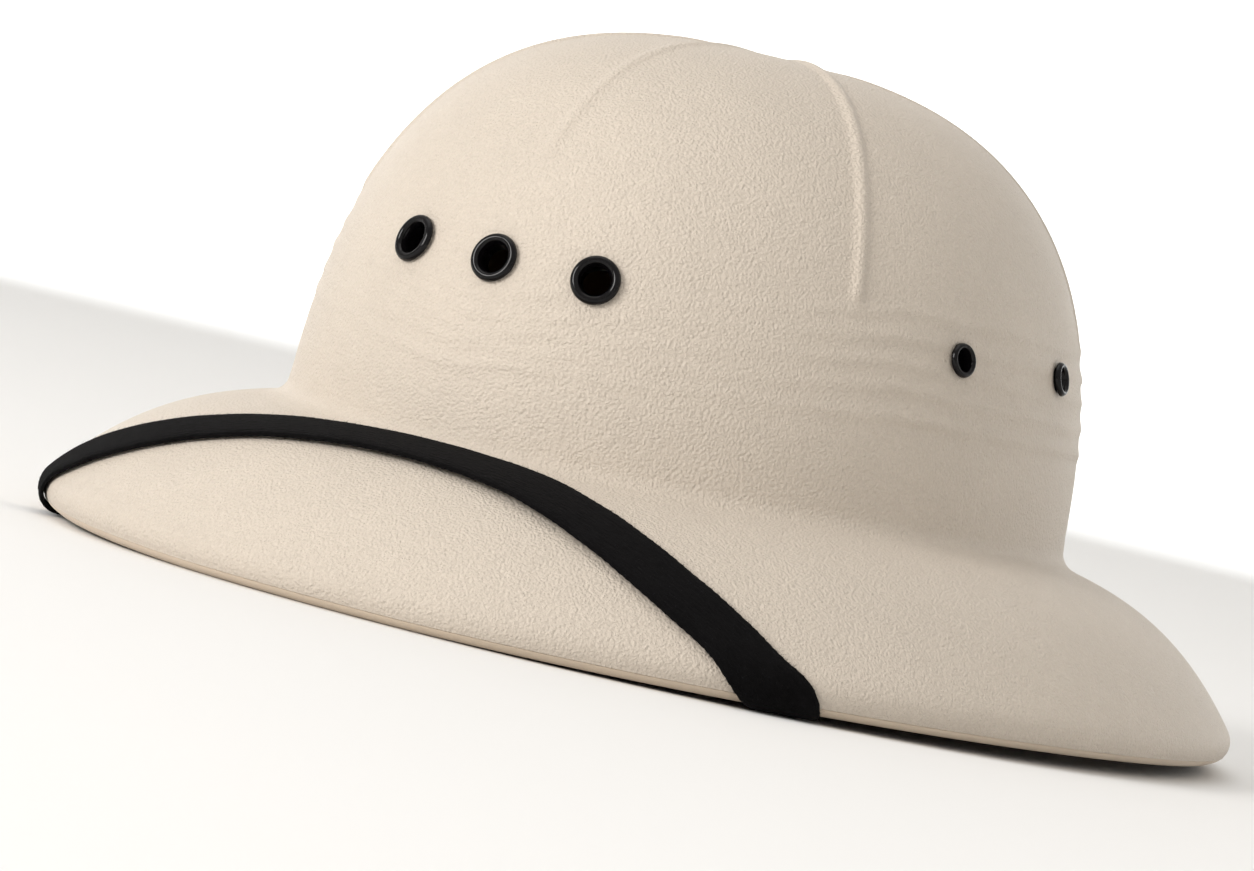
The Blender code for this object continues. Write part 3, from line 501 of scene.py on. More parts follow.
def add_mesh(name, points, faces, finish, attributes=None, sharp=None):
    """Object from an array of points and arrays of quads and triangles, turned outward, shaded smooth."""
    points = np.asarray(points, float).reshape(-1, 3)
    volume = 0.0
    for ring in faces:
        for second in range(1, ring.shape[1] - 1):
            a, b, c = points[ring[:, 0]], points[ring[:, second]], points[ring[:, second + 1]]
            volume += float(np.einsum("ij,ij->i", a, np.cross(b, c)).sum())
    if volume < 0.0:
        faces = [ring[:, ::-1] for ring in faces]
    mesh = bpy.data.meshes.new(name)
    mesh.vertices.add(len(points))
    mesh.vertices.foreach_set("co", points.astype(np.float32).ravel())
    corners = np.concatenate([ring.ravel() for ring in faces]).astype(np.int32)
    totals = np.concatenate([np.full(len(ring), ring.shape[1]) for ring in faces]).astype(np.int32)
    mesh.loops.add(len(corners))
    mesh.loops.foreach_set("vertex_index", corners)
    mesh.polygons.add(len(totals))
    mesh.polygons.foreach_set("loop_start", (np.cumsum(totals) - totals).astype(np.int32))
    mesh.polygons.foreach_set("loop_total", totals)
    mesh.update(calc_edges=True)
    mesh.validate()
    mesh.shade_smooth()
    if sharp is not None:
        mesh.set_sharp_from_angle(angle=math.radians(sharp))
    for label, values in (attributes or {}).items():
        layer = mesh.attributes.new(label, "FLOAT_VECTOR", "POINT")
        layer.data.foreach_set("vector", np.asarray(values, np.float32).ravel())
    mesh.materials.append(finish)
    return linked(name, mesh)


def ring_faces(rings, around, closed=False):
    """Quads between closed rings of points, and from the last ring to the first if the section closes."""
    rows = np.arange(rings if closed else rings - 1)[:, None]
    steps = np.arange(around)[None, :]
    here, following = rows * around, ((rows + 1) % rings) * around
    beside = (steps + 1) % around
    corners = (here + steps, following + steps, following + beside, here + beside)
    return np.stack(corners, axis=-1).reshape(-1, 4)


def pole_faces(pole, start, around, flip=False):
    """Triangles from a pole to a ring."""
    steps = np.arange(around)
    beside = (steps + 1) % around
    order = (beside, steps) if flip else (steps, beside)
    return np.stack([np.full(around, pole), start + order[0], start + order[1]], axis=-1)


def closed_shell(name, rows, poles, finish, attributes=None, sharp=None):
    """Closed solid from rows that run from one pole to the other."""
    count, around = rows.shape[0], rows.shape[1]
    points = np.concatenate([rows.reshape(-1, 3), poles])
    pole = count * around
    faces = [ring_faces(count, around), np.concatenate([
        pole_faces(pole, 0, around), pole_faces(pole + 1, (count - 1) * around, around, flip=True)])]
    return add_mesh(name, points, faces, finish, attributes, sharp)


def show(obj, slot, *nodes):
    """Carry a finished piece with the helmet, in place of its CAD nodes."""
    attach(obj, "root")
    if nodes:
        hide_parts(*nodes)


# ---------------------------------------------------------------- materials

class Value:
    """A socket's number, so that shader maths reads as an expression."""

    def __init__(self, finish, socket):
        self.finish = finish
        self.socket = socket

    def maths(self, operation, *values):
        return self.finish.node("ShaderNodeMath", {"operation": operation}, dict(enumerate(values)))

    def __add__(self, other):
        return self.maths("ADD", self, other)

    def __radd__(self, other):
        return self.maths("ADD", other, self)

    def __sub__(self, other):
        return self.maths("SUBTRACT", self, other)

    def __rsub__(self, other):
        return self.maths("SUBTRACT", other, self)

    def __mul__(self, other):
        return self.maths("MULTIPLY", self, other)

    def __rmul__(self, other):
        return self.maths("MULTIPLY", other, self)


class Finish:
    """A material and the one way its nodes are made."""

    def __init__(self, name, **constants):
        self.material = bpy.data.materials.new(name)
        self.material.use_nodes = True
        self.tree = self.material.node_tree
        self.shader = self.tree.nodes["Principled BSDF"]
        for label, value in constants.items():
            self.shader.inputs[label.replace("_", " ").title().replace("Ior", "IOR")].default_value = value

    def node(self, kind, settings=None, inputs=None, output=0):
        """Add a node: its settings first, then the values or links of its sockets."""
        made = self.tree.nodes.new(kind)
        for label, value in (settings or {}).items():
            setattr(made, label, value)
        for label, value in (inputs or {}).items():
            socket = made.inputs[label]
            if isinstance(value, Value):
                self.tree.links.new(value.socket, socket)
            elif socket.type == "RGBA":
                socket.default_value = (*value, 1.0)
            else:
                socket.default_value = value
        return Value(self, made.outputs[output])

    def place(self):
        """Object coordinates."""
        return self.node("ShaderNodeTexCoord", output="Object")

    def attribute(self, name):
        """Vector stored on the piece's points."""
        return self.node("ShaderNodeAttribute", {"attribute_name": name}, output="Vector")

    def parts(self, vector):
        """The three numbers of a vector."""
        split = self.node("ShaderNodeSeparateXYZ", inputs={"Vector": vector})
        return [Value(self, socket) for socket in split.socket.node.outputs]

    def stretched(self, vector, scale):
        """Vector with its three numbers scaled."""
        return self.node("ShaderNodeMapping", inputs={"Vector": vector, "Scale": scale})

    def noise(self, vector, size, detail=2.0, roughness=0.5, distortion=0.0):
        """Soft noise whose blobs are about this size."""
        return self.node("ShaderNodeTexNoise", inputs={
            "Vector": vector, "Scale": 1.0 / size, "Detail": detail,
            "Roughness": roughness, "Distortion": distortion})

    def pebbles(self, vector, size):
        """Rounded cells about this size, 0 at their middles."""
        return self.node("ShaderNodeTexVoronoi", {"feature": "SMOOTH_F1"}, {
            "Vector": vector, "Scale": 1.0 / size, "Smoothness": 1.0}, output="Distance")

    def between(self, value, low, high, start=0.0, end=1.0):
        """Smooth change from start to end as a value goes from low to high."""
        return self.node("ShaderNodeMapRange", {"interpolation_type": "SMOOTHSTEP"}, {
            "Value": value, "From Min": low, "From Max": high, "To Min": start, "To Max": end})

    def blend(self, share, first, second):
        """Colour between two colours."""
        return self.node("ShaderNodeMix", {"data_type": "RGBA", "clamp_factor": True}, {
            "Factor": share, 6: first, 7: second}, output=2)

    def colour(self, colour):
        """A plain colour as a vector."""
        return self.node("ShaderNodeCombineXYZ", inputs=dict(zip("XYZ", colour)))

    def dyed(self, colour, value):
        """Colour multiplied by a number."""
        return self.node("ShaderNodeVectorMath", {"operation": "SCALE"}, {0: colour, "Scale": value})

    def away(self, vector, point):
        """Distance from a point."""
        return self.node("ShaderNodeVectorMath", {"operation": "DISTANCE"}, {
            0: vector, 1: tuple(point)}, output="Value")

    def stained(self, where, section, depth, core, cloud):
        """Stains on a section, each full in its core, a share of its reach, and fading out from there."""
        brown = 0.0
        for stain in STAINS:
            spot = self.away(where, place(stain.angle, section, depth)[0])
            brown = brown + self.between(spot, stain.reach, core * stain.reach) * cloud
        return brown

    def bump(self, height, distance, strength=1.0):
        """Normal of a surface raised by height times distance."""
        return self.node("ShaderNodeBump", inputs={
            "Height": height, "Distance": distance, "Strength": strength})

    def feed(self, label, value):
        """Lead a value to a socket of the shader."""
        self.tree.links.new(value.socket, self.shader.inputs[label])


def cover_finish(sizes, colours):
    """Pebbled crepe cloth: rounded grains under fine noise, rippled across near the front pleats."""
    finish = Finish("crepe_cover", specular_ior_level=0.42, sheen_weight=0.08, sheen_roughness=0.5)
    where = finish.place()
    y, z = finish.parts(where)[1:]
    grain = sizes.crepe_grain
    pebble = 1.0 - finish.pebbles(where, grain)
    curl = finish.noise(where, 0.58 * grain, 3.0, 0.6, 0.35)
    ripple = finish.noise(finish.stretched(where, (1.0, 1.0, 3.2)), 1.4 * grain, 2.0, 0.55)
    front = finish.between(y, -70.0 * MM, -100.0 * MM) * finish.between(z, 48.0 * MM, 56.0 * MM)
    front = front * finish.between(z, 84.0 * MM, 74.0 * MM)
    height = pebble * 1.1 + curl * 1.0 + ripple * (front * 0.12 + 0.12)
    patch = finish.noise(where, 34.0 * MM, 3.0, 0.55)
    mottle = finish.noise(where, 5.0 * MM, 3.0, 0.6)
    shade = 0.965 + (patch - 0.5) * 0.09 + (mottle - 0.5) * 0.06 + (curl - 0.5) * 0.30
    # the cover is made darker towards the bottom, down the lip
    low_darkening = finish.between(z, *LOW_DARKENING_HEIGHTS, 1.0, 0.955)
    speck = finish.between(finish.away(where, DARK_SPECK), 0.35 * MM, 0.9 * MM, 0.45, 1.0)
    finish.feed("Base Color", finish.dyed(finish.colour(colours.cover), shade * low_darkening * speck))
    finish.feed("Roughness", 0.70 - curl * 0.34)
    finish.feed("Normal", finish.bump(height, 0.36 * MM, 1.0))
    return finish.material


def edging_finish(colours):
    """Smooth folded cloth of the lip: fine weave, browned where it has been handled and set down."""
    finish = Finish("edging_cloth", specular_ior_level=0.4, sheen_weight=0.1)
    where = finish.place()
    z = finish.parts(where)[2]
    weave = finish.noise(where, 0.45 * MM, 2.0, 0.6)
    soft = finish.noise(where, 7.0 * MM, 3.0, 0.55)
    streak = finish.noise(finish.stretched(where, (1.0, 1.0, 4.0)), 4.0 * MM, 3.0, 0.65)
    base = finish.dyed(finish.colour(colours.edging), 0.95 + (soft - 0.5) * 0.10 + (weave - 0.5) * 0.06)
    cloud = finish.between(streak, 0.34, 0.70)
    brown = finish.between(streak, 0.60, 0.74) * 0.22
    brown = brown + finish.stained(where, lip_rows([STAIN_LIP_ANGLE]), 0.0, 0.2, cloud)
    brown = brown * finish.between(z, *EDGE_STAIN_HEIGHTS) * 0.40
    finish.feed("Base Color", finish.blend(brown, base, STAIN_COLOUR))
    finish.feed("Roughness", 0.56 + soft * 0.12)
    finish.feed("Normal", finish.bump(weave * 0.5 + soft * 1.5, 0.10 * MM, 0.8))
    return finish.material


def lining_finish(colours):
    """Close-woven lining: pale and stained under the brim, warm brown inside the crown, near black deep in
    the crown as painted shade, and paler towards -X as painted light.
    """
    finish = Finish("lining_cloth", roughness=0.72, specular_ior_level=0.3, sheen_weight=0.15)
    where = finish.place()
    x, _, z = finish.parts(where)
    weave = finish.noise(where, 0.5 * MM, 2.0, 0.6)
    smear = finish.noise(finish.stretched(where, (1.0, 1.0, 0.25)), 6.0 * MM, 3.0, 0.6)
    patch = finish.noise(where, 28.0 * MM, 3.0, 0.55)
    inside = finish.between(z, *CROWN_LINING_HEIGHTS)
    # painted light: the lining is made paler towards -X, the side the key light falls on
    painted_light_side = finish.between(x, *LINING_PAINTED_LIGHT_WIDTHS)
    shade = 0.94 + (patch - 0.5) * 0.12 + (weave - 0.5) * 0.08 + (smear - 0.5) * 0.08 + painted_light_side * 0.14
    base = finish.blend(inside, colours.lining, colours.crown_lining)
    # painted shade: the lining turns near-black red-brown high inside the crown
    base = finish.blend(finish.between(z, *CROWN_PAINTED_SHADE_HEIGHTS) * 0.85, base, CROWN_PAINTED_SHADE_COLOUR)
    cloud = finish.between(finish.noise(where, 9.0 * MM, 3.0, 0.6), 0.25, 0.70)
    brown = finish.stained(where, brim_rows([STAIN_SHARE]), WALL, 0.1, cloud)
    base = finish.blend(brown * 0.36, base, STAIN_COLOUR)
    finish.feed("Base Color", finish.dyed(base, shade))
    finish.feed("Roughness", 0.66 + weave * 0.12)
    finish.feed("Normal", finish.bump(weave + smear * 1.2, 0.09 * MM, 0.7))
    return finish.material


def band_finish(colours):
    """Head-band cloth: a fine rib round the head, a worn line along the top and one under it, and painted
    shade darkening its lower part.
    """
    finish = Finish("band_cloth_woven", specular_ior_level=0.25, sheen_weight=0.12)
    where = finish.place()
    z = finish.parts(where)[2]
    rib = finish.noise(finish.stretched(where, (0.35, 0.35, 2.4)), 0.8 * MM, 2.0, 0.5)
    fuzz = finish.noise(where, 0.35 * MM, 2.0, 0.6)
    patch = finish.noise(where, 18.0 * MM, 3.0, 0.6)
    # painted shade: the band darkens towards its lower edge, in the corner by the brim
    low = finish.between(z, *BAND_PAINTED_SHADE_HEIGHTS)
    shade = 0.98 + (patch - 0.5) * 0.20 + (rib - 0.5) * 0.14 - low * 0.10
    top_line = finish.between(z, *BAND_TOP_LINE)
    second_line = finish.between(z, *BAND_LINE_BELOW) * finish.between(z, *BAND_LINE_ABOVE)
    base = finish.dyed(finish.colour(colours.band), shade - second_line * 0.30)
    finish.feed("Base Color", finish.blend(top_line * 0.75, base, WORN_LINE_COLOUR))
    finish.feed("Roughness", 0.74 + fuzz * 0.14)
    finish.feed("Normal", finish.bump(rib + fuzz * 0.5, 0.12 * MM, 0.8))
    return finish.material


def strap_finish(colours):
    """Brushed black webbing: streaks of nap along its length and pale flecks of lint."""
    finish = Finish("brushed_strap", specular_ior_level=0.03, sheen_weight=0.02, sheen_roughness=0.5)
    lay = finish.attribute("lay")
    streak = finish.noise(finish.stretched(lay, (1.0, 0.22, 1.0)), 0.55 * MM, 3.0, 0.6, 0.4)
    fuzz = finish.noise(lay, 0.28 * MM, 2.0, 0.6)
    fleck = finish.between(finish.noise(lay, 0.36 * MM, 1.0), 0.72, 0.79)
    soft = finish.noise(lay, 9.0 * MM, 2.0)
    shade = 0.35 + streak * 1.3 + (soft - 0.5) * 0.5
    base = finish.dyed(finish.colour(colours.strap), shade)
    finish.feed("Base Color", finish.blend(fleck * 0.30, base, LINT_COLOUR))
    finish.feed("Roughness", 0.82 + fuzz * 0.15)
    finish.feed("Normal", finish.bump(streak * 1.4 + fuzz * 0.6, 0.30 * MM, 1.0))
    return finish.material


def enamel_finish(colours):
    """Black enamel on pressed metal: glossy, faintly uneven, rubbed thin in scattered streaks."""
    finish = Finish("black_enamel_gloss", specular_ior_level=0.2, coat_weight=0.05, coat_roughness=0.03)
    where = finish.place()
    wave = finish.noise(where, 2.5 * MM, 2.0, 0.5)
    scuff = finish.noise(finish.stretched(where, (1.0, 1.0, 4.0)), 0.5 * MM, 3.0, 0.7)
    rub = finish.between(scuff, 0.62, 0.80)
    finish.feed("Base Color", finish.blend(rub * 0.25, colours.enamel, RUBBED_COLOUR))
    finish.feed("Roughness", 0.05 + wave * 0.05 + rub * 0.18)
    finish.feed("Normal", finish.bump(wave, 0.06 * MM, 0.5))
    return finish.material


def floor_finish():
    """Pale seamless studio floor."""
    finish = Finish("pale_floor", roughness=0.75, specular_ior_level=0.2)
    where = finish.place()
    cloud = finish.noise(where, 0.9, 2.0, 0.5)
    finish.feed("Base Color", finish.dyed(finish.colour(FLOOR_COLOUR), 0.99 + cloud * 0.02))
    finish.feed("Roughness", 0.72 + cloud * 0.06)
    return finish.material


# ---------------------------------------------------------------- cover

def cover_angles():
    """Columns round the helmet: even steps, drawn closer together on each rib and round the front."""
    fine = np.linspace(0.0, 360.0, 7201)
    density = np.ones_like(fine)
    for rib in RIB_ANGLES:
        density += 1.6 * np.exp(-((turn_from(fine, rib) / 3.4) ** 2))
    density += 0.35 * np.exp(-((turn_from(fine) / 60.0) ** 4))
    total = np.concatenate([[0.0], np.cumsum(0.5 * (density[1:] + density[:-1]))])
    return np.interp(np.arange(COVER_COLUMNS) / COVER_COLUMNS * total[-1], total, fine)


def rib_relief(angle, section, sizes):
    """Rounded ridge on each rib line: exp(-1.9 |d|^2.6), with d the distance across over the half width.

    It fades in at the rib's lower end and out near the top of the dome.
    """
    turn = np.radians(angle)
    radius = np.hypot(section.half_width * np.cos(turn), section.half_length * np.sin(turn))
    relief = np.zeros(np.broadcast(angle, section.height).shape)
    for rib in RIB_ANGLES:
        across = np.radians(turn_from(angle, rib)) * radius / (0.5 * sizes.rib_width)
        ridge = np.exp(-1.9 * np.abs(across) ** 2.6)
        end = RIB_END + (FRONT_RIB_HIGHER_END if rib == 0.0 else 0.0)
        reach = smooth_step(section.height, end - 1.6 * MM, end + 2.2 * MM)
        soft = FRONT_RIB_SHARE if rib == 0.0 else 1.0
        relief = np.maximum(relief, ridge * reach * soft)
    size = section.half_width / CROWN_HALF_WIDTH
    return sizes.rib_height * relief * smooth_step(size, 0.03, 0.24)


def pleat_relief(angle, section, sizes):
    """Moulded folds: for each, a narrow ridge with a long slope above it and a short one below.

    Ridge heights fall from the temples to the front, with a slow wander made of sines. The relief
    is full at the sides, weaker at the front, and faint on the smooth stretches between.
    """
    away = np.abs(turn_from(angle))
    gather = np.maximum(0.0, 1.0 - away / PLEAT_RISE_ANGLE)
    fade = smooth_step(away, 9.0, 26.0) * (1.0 - smooth_step(away, 42.0, 64.0))
    strength = (1.0 - 0.62 * fade) * (0.72 + 0.28 * smooth_step(away, 20.0, 60.0))
    turn = np.radians(angle)
    relief = np.zeros(np.broadcast(angle, section.height).shape)
    for index, pleat in enumerate(PLEATS):
        wander = np.sin(5.0 * turn + 1.7 * index) + 0.7 * np.sin(11.0 * turn + 2.9 * index)
        wander += 0.5 * np.sin(23.0 * turn + 0.8 * index * index)
        level = pleat.side_height - (pleat.side_height - pleat.front_height) * gather
        level = level + PLEAT_WANDER * wander * (0.5 + gather)
        above = (section.height - level) / (1.0 * MM)
        ridge = np.where(above > 0.0, np.exp(-(above / 1.9) ** 2), np.exp(-(above / 0.8) ** 2))
        ripple = 0.78 + 0.22 * np.sin(17.0 * turn + 2.0 * index) * np.sin(7.0 * turn + index)
        hollow = 0.18 * np.exp(-(above / 4.5) ** 2)
        relief = relief + pleat.ridge / PLEATS[0].ridge * (ridge * ripple - hollow)
    return sizes.pleat_relief * relief * strength


def round_eyelets(points):
    """How far the pleats and how deep the dimples go round the eyelets, by distance over flange radius.

    The first is 0 under a flange and 1 clear of it, so that it sits on plain cloth. The second is a
    shallow pull of the cloth towards each eyelet, a bell of the distance from its middle.
    """
    clear, pull = np.ones(points.shape[:-1]), np.zeros(points.shape[:-1])
    for eyelet in EYELETS:
        away = np.linalg.norm(points - eyelet_frame(eyelet)[0], axis=-1) / eyelet.flange
        clear = np.minimum(clear, smooth_step(away, 1.05, 1.8))
        pull = pull - DIMPLE_DEPTH * np.exp(-((away / 1.35) ** 4))
    return clear, pull


def hand_relief(angle, height):
    """Slow unevenness of a hand-moulded shell: three crossed sines, each under 0.1 mm."""
    turn = np.radians(angle)
    wave = 0.08 * np.sin(3.0 * turn + 50.0 * height) + 0.06 * np.sin(7.0 * turn - 90.0 * height + 1.0)
    wave = wave + 0.05 * np.sin(13.0 * turn + 130.0 * height + 2.2)
    return MM * wave


def cover_surface(sizes):
    """Outer skin from the top of the dome to the crease on the lip, then the same cloth's under side."""
    angles = cover_angles()[None, :]
    top = DOME_TOP - 0.02 * MM
    crown = joined(dome_rows(100.0 * MM, top, 34), dome_rows(54.0 * MM, 98.9 * MM, 44),
                   dome_rows(CROWN_FOOT, 53.0 * MM, 4))
    order = np.argsort(-crown.height, kind="stable")
    crown = Section(*[field[order] for field in crown])
    brim = joined(junction_rows(np.linspace(90.0, JUNCTION_SLOPE, 8)),
                  brim_rows(np.linspace(0.08, LIP_START, 22)),
                  lip_rows(np.linspace(RIM_SLOPE + 5.0, LIP_SEAM_ANGLE - 2.4, 15)))
    crown, brim = column(crown), column(brim)
    base = place(angles, crown)
    clear, pull = round_eyelets(base)
    relief = rib_relief(angles, crown, sizes) + pleat_relief(angles, crown, sizes) * clear + pull
    relief = relief + hand_relief(angles, crown.height) * smooth_step(-crown.height, -DOME_TOP, -0.14)
    outer = base + out_normal(angles, crown) * relief[..., None]
    slack = 0.7 * hand_relief(angles, brim.height)
    flat = place(angles, brim) + out_normal(angles, brim) * slack[..., None]
    past_seam, rise = np.array(COVER_FOLD).T
    crease = column(lip_rows(LIP_SEAM_ANGLE + past_seam))
    fold = place(angles, crease) + out_normal(angles, crease) * rise[:, None, None]
    under = column(joined(lip_rows([112.0, 94.0, 74.0, RIM_SLOPE]), brim_rows(np.linspace(0.9, 0.1, 8)),
                          junction_rows([JUNCTION_SLOPE, 48.0, 90.0])))
    under_brim = place(angles, under, COVER_THICK)
    inner_crown = column(dome_rows(CROWN_FOOT + 6.0 * MM, DOME_TOP - 0.05 * MM, 22))
    inside = place(angles, inner_crown, COVER_THICK)
    poles = [(0.0, CROWN_CENTRE_Y, DOME_TOP), (0.0, CROWN_CENTRE_Y, DOME_TOP - COVER_THICK)]
    return np.concatenate([outer, flat, fold, under_brim, inside]), poles


def eyelet_frame(eyelet):
    """Middle of an eyelet on the shell, its outward axis and two directions across."""
    section = crown_at(eyelet.height)
    centre = place(eyelet.angle, section)[0]
    normal = out_normal(eyelet.angle, section)[0]
    side = np.cross([0.0, 0.0, 1.0], normal)
    side /= np.linalg.norm(side)
    return centre, normal, side, np.cross(normal, side)


def turned(eyelet, profile, sides):
    """A profile of (radius, height) turned about an eyelet's axis: centre + r cos + r sin + h normal."""
    centre, normal, side, rise = eyelet_frame(eyelet)
    radius, height = np.asarray(profile, float).T
    turn = np.arange(sides) / sides * 2.0 * np.pi
    around = side[None, :] * np.cos(turn)[:, None] + rise[None, :] * np.sin(turn)[:, None]
    return centre + radius[:, None, None] * around[None] + (height[:, None] * normal[None])[:, None]


def pierce(piece):
    """Cut the eyelets' holes through a piece, leaving a plain mesh."""
    points, faces = [], []
    for index, eyelet in enumerate(EYELETS):
        radius = eyelet.bore + EYELET_BARREL + EYELET_HOLE_GAP
        profile = [(1e-6, HOLE_REACH), (radius, HOLE_REACH), (radius, -HOLE_REACH), (1e-6, -HOLE_REACH)]
        points.append(turned(eyelet, profile, HOLE_SIDES).reshape(-1, 3))
        faces.append(ring_faces(len(profile), HOLE_SIDES) + index * len(profile) * HOLE_SIDES)
    finish = piece.data.materials[0]
    cutter = add_mesh("hole_cutter", np.concatenate(points), [np.concatenate(faces)], finish)
    cut = piece.modifiers.new("holes", "BOOLEAN")
    cut.operation = "DIFFERENCE"
    cut.solver = "EXACT"
    cut.object = cutter
    bpy.context.view_layer.update()
    evaluated = piece.evaluated_get(bpy.context.evaluated_depsgraph_get())
    pierced = bpy.data.meshes.new_from_object(evaluated)
    piece.modifiers.clear()
    piece.data = pierced
    pierced.shade_smooth()
    pierced.set_sharp_from_angle(angle=math.radians(60.0))
    bpy.data.objects.remove(cutter, do_unlink=True)


def lining_surface():
    """Lining as rows from its pole on the inside, down to the edging and back up to the pole behind.

    Under the brim it is padded towards the lip, and near the crown it dips to the head band's lower
    edge: a level curve that leaves out the brim's side lift, and goes up behind the band.
    """
    angles = (np.arange(LINING_COLUMNS) * 360.0 / LINING_COLUMNS)[None, :]
    crown = column(dome_rows(CROWN_FOOT + 3.0 * MM, DOME_TOP - 0.05 * MM, 46))
    shares = np.linspace(0.945, 0.10, 38)
    by_lip, by_band = np.array(LINING_LIP).T, np.array(LINING_DIP).T
    lip = flat_section(LIP_CENTRE + by_lip[0] * MM, by_lip[1] * MM, 0.0, -1.0)._replace(lift=by_lip[2])
    dip = flat_section(by_band[0] * MM, by_band[1] * MM, 1.0, 0.0)._replace(lift=by_band[2])
    padding = WALL + LINING_PADDING * smooth_step(shares, 0.70, 0.95)
    depth = np.concatenate([np.zeros(len(LINING_LIP)), padding, np.zeros(len(LINING_DIP))])
    flat = column(joined(lip, brim_rows(shares), dip))
    slack = 0.4 * hand_relief(angles, flat.height)
    under = place(angles, flat, depth[:, None]) - out_normal(angles, flat) * slack[..., None]
    above = place(angles, crown, WALL - 0.05 * MM)
    back = joined(brim_rows(np.linspace(0.98, 0.06, 24)), junction_rows(np.linspace(14.0, 90.0, 8)))
    behind = [place(angles, rows, LINING_BACK_DEPTH) for rows in (column(back), crown)]
    poles = [(0.0, CROWN_CENTRE_Y, DOME_TOP - WALL), (0.0, CROWN_CENTRE_Y, DOME_TOP - LINING_BACK_DEPTH)]
    return np.concatenate([above[::-1], under[::-1], *behind]), poles


# ---------------------------------------------------------------- edging and head band

def swept(name, parts, columns, finish, ripple=0.0):
    """Closed section carried round the helmet: each part a section with its depth."""
    angles = (np.arange(columns) * 360.0 / columns)[None, :]
    section = column(joined(*[rows for rows, _ in parts]))
    depth = [np.broadcast_to(np.asarray(depth, float), rows.height.shape) for rows, depth in parts]
    points = place(angles, section, np.concatenate(depth)[:, None])
    if ripple:
        turn = np.radians(angles)
        wave = np.sin(9.0 * turn + 60.0 * section.height) + 0.6 * np.sin(23.0 * turn + 1.3)
        points = points + out_normal(angles, section) * (ripple * wave)[..., None]
    faces = ring_faces(points.shape[0], columns, closed=True)
    return add_mesh(name, points, [faces], finish, sharp=50.0)


def edging_rows():
    """Folded edging: from the seam round the lip to the table and up inside to the lining's edge."""
    inner_face = WALL + 0.3 * MM
    outer_face = inner_face + EDGING_THICK
    seam = LIP_SEAM_ANGLE + 1.3
    lip = lip_rows(np.linspace(seam + 0.9, 160.0, 12))
    outward, height = np.array(EDGING_FOOT).T * MM
    foot = flat_section(LIP_CENTRE + outward, height, 0.0, -1.0)
    return [
        (lip_rows([seam]), [0.25 * MM]), (lip, 0.0), (foot, 0.0),
        (lip_rows([140.0, 119.0, 95.0]), outer_face), (lip_rows([88.0]), [outer_face - 0.2 * MM]),
        (lip_rows([88.0, 119.0, 150.0]), inner_face), (lip_rows([150.0, 140.0, seam]), EDGING_THICK),
    ]


def band_rows():
    """Head band: plain back on the wall, and on its face a soft hem below and a folded top."""
    near = WALL + BAND_GAP
    far = near + BAND_WALL

    def at(heights, level=BAND_LEVEL):
        wall = crown_at(level)
        return section_of(wall.half_width[0], wall.half_length[0], CROWN_CENTRE_Y, 0.0,
                          np.array(heights) * MM, 1.0, 0.0, 0.0)

    hem = far + BAND_HEM * np.array([0.1, 0.7, 1.0, 0.9, 0.5, 0.15, -0.1, 0.0])
    return [
        (at([65.0], BAND_TOP), near), (at([50.0, 30.6]), near), (at([30.05]), [near + 0.4 * MM]),
        (at([30.0, 30.3, 31.0, 32.0, 32.8, 33.15, 33.4, 33.9]), hem),
        (at([36.0, 40.0, 45.0, 50.0, 56.0]), far),
        (at([62.0, 62.5], BAND_TOP - 3.0 * MM), [far, far + 0.2 * MM]),
        (at([64.7], BAND_TOP), [far + 0.2 * MM]), (at([65.0], BAND_TOP), [far - 0.2 * MM]),
    ]


# ---------------------------------------------------------------- eyelets and tabs

def eyelet_profile(eyelet):
    """Closed profile: a rolled flange as a half round, the barrel, and the clinch inside."""
    seat = EYELET_SEAT
    foot = 0.12 * MM
    inner = eyelet.bore + EYELET_BORE_ROUNDING
    turn = np.radians(np.linspace(-12.0, 172.0, 18))
    flange = np.stack([0.5 * (eyelet.flange + inner) + 0.5 * (eyelet.flange - inner) * np.cos(turn),
                       seat + foot + (EYELET_RISE - foot) * np.maximum(0.0, np.sin(turn))], axis=-1)
    throat = [(eyelet.bore + 0.10 * MM, seat + 0.05 * MM), (eyelet.bore, seat - 0.5 * MM),
              (eyelet.bore, -EYELET_BACK)]
    turn = np.radians(np.linspace(180.0, 0.0, 9)[1:])
    half = 0.5 * (EYELET_BARREL + EYELET_CLINCH)
    clinch = np.stack([eyelet.bore + half + half * np.cos(turn),
                       -EYELET_BACK - EYELET_CLINCH_DEPTH * np.sin(turn)], axis=-1)
    barrel = eyelet.bore + EYELET_BARREL
    back = [(barrel, -EYELET_BACK), (barrel, seat), (eyelet.flange - 0.2 * MM, seat)]
    return np.concatenate([flange, throat, clinch, back])


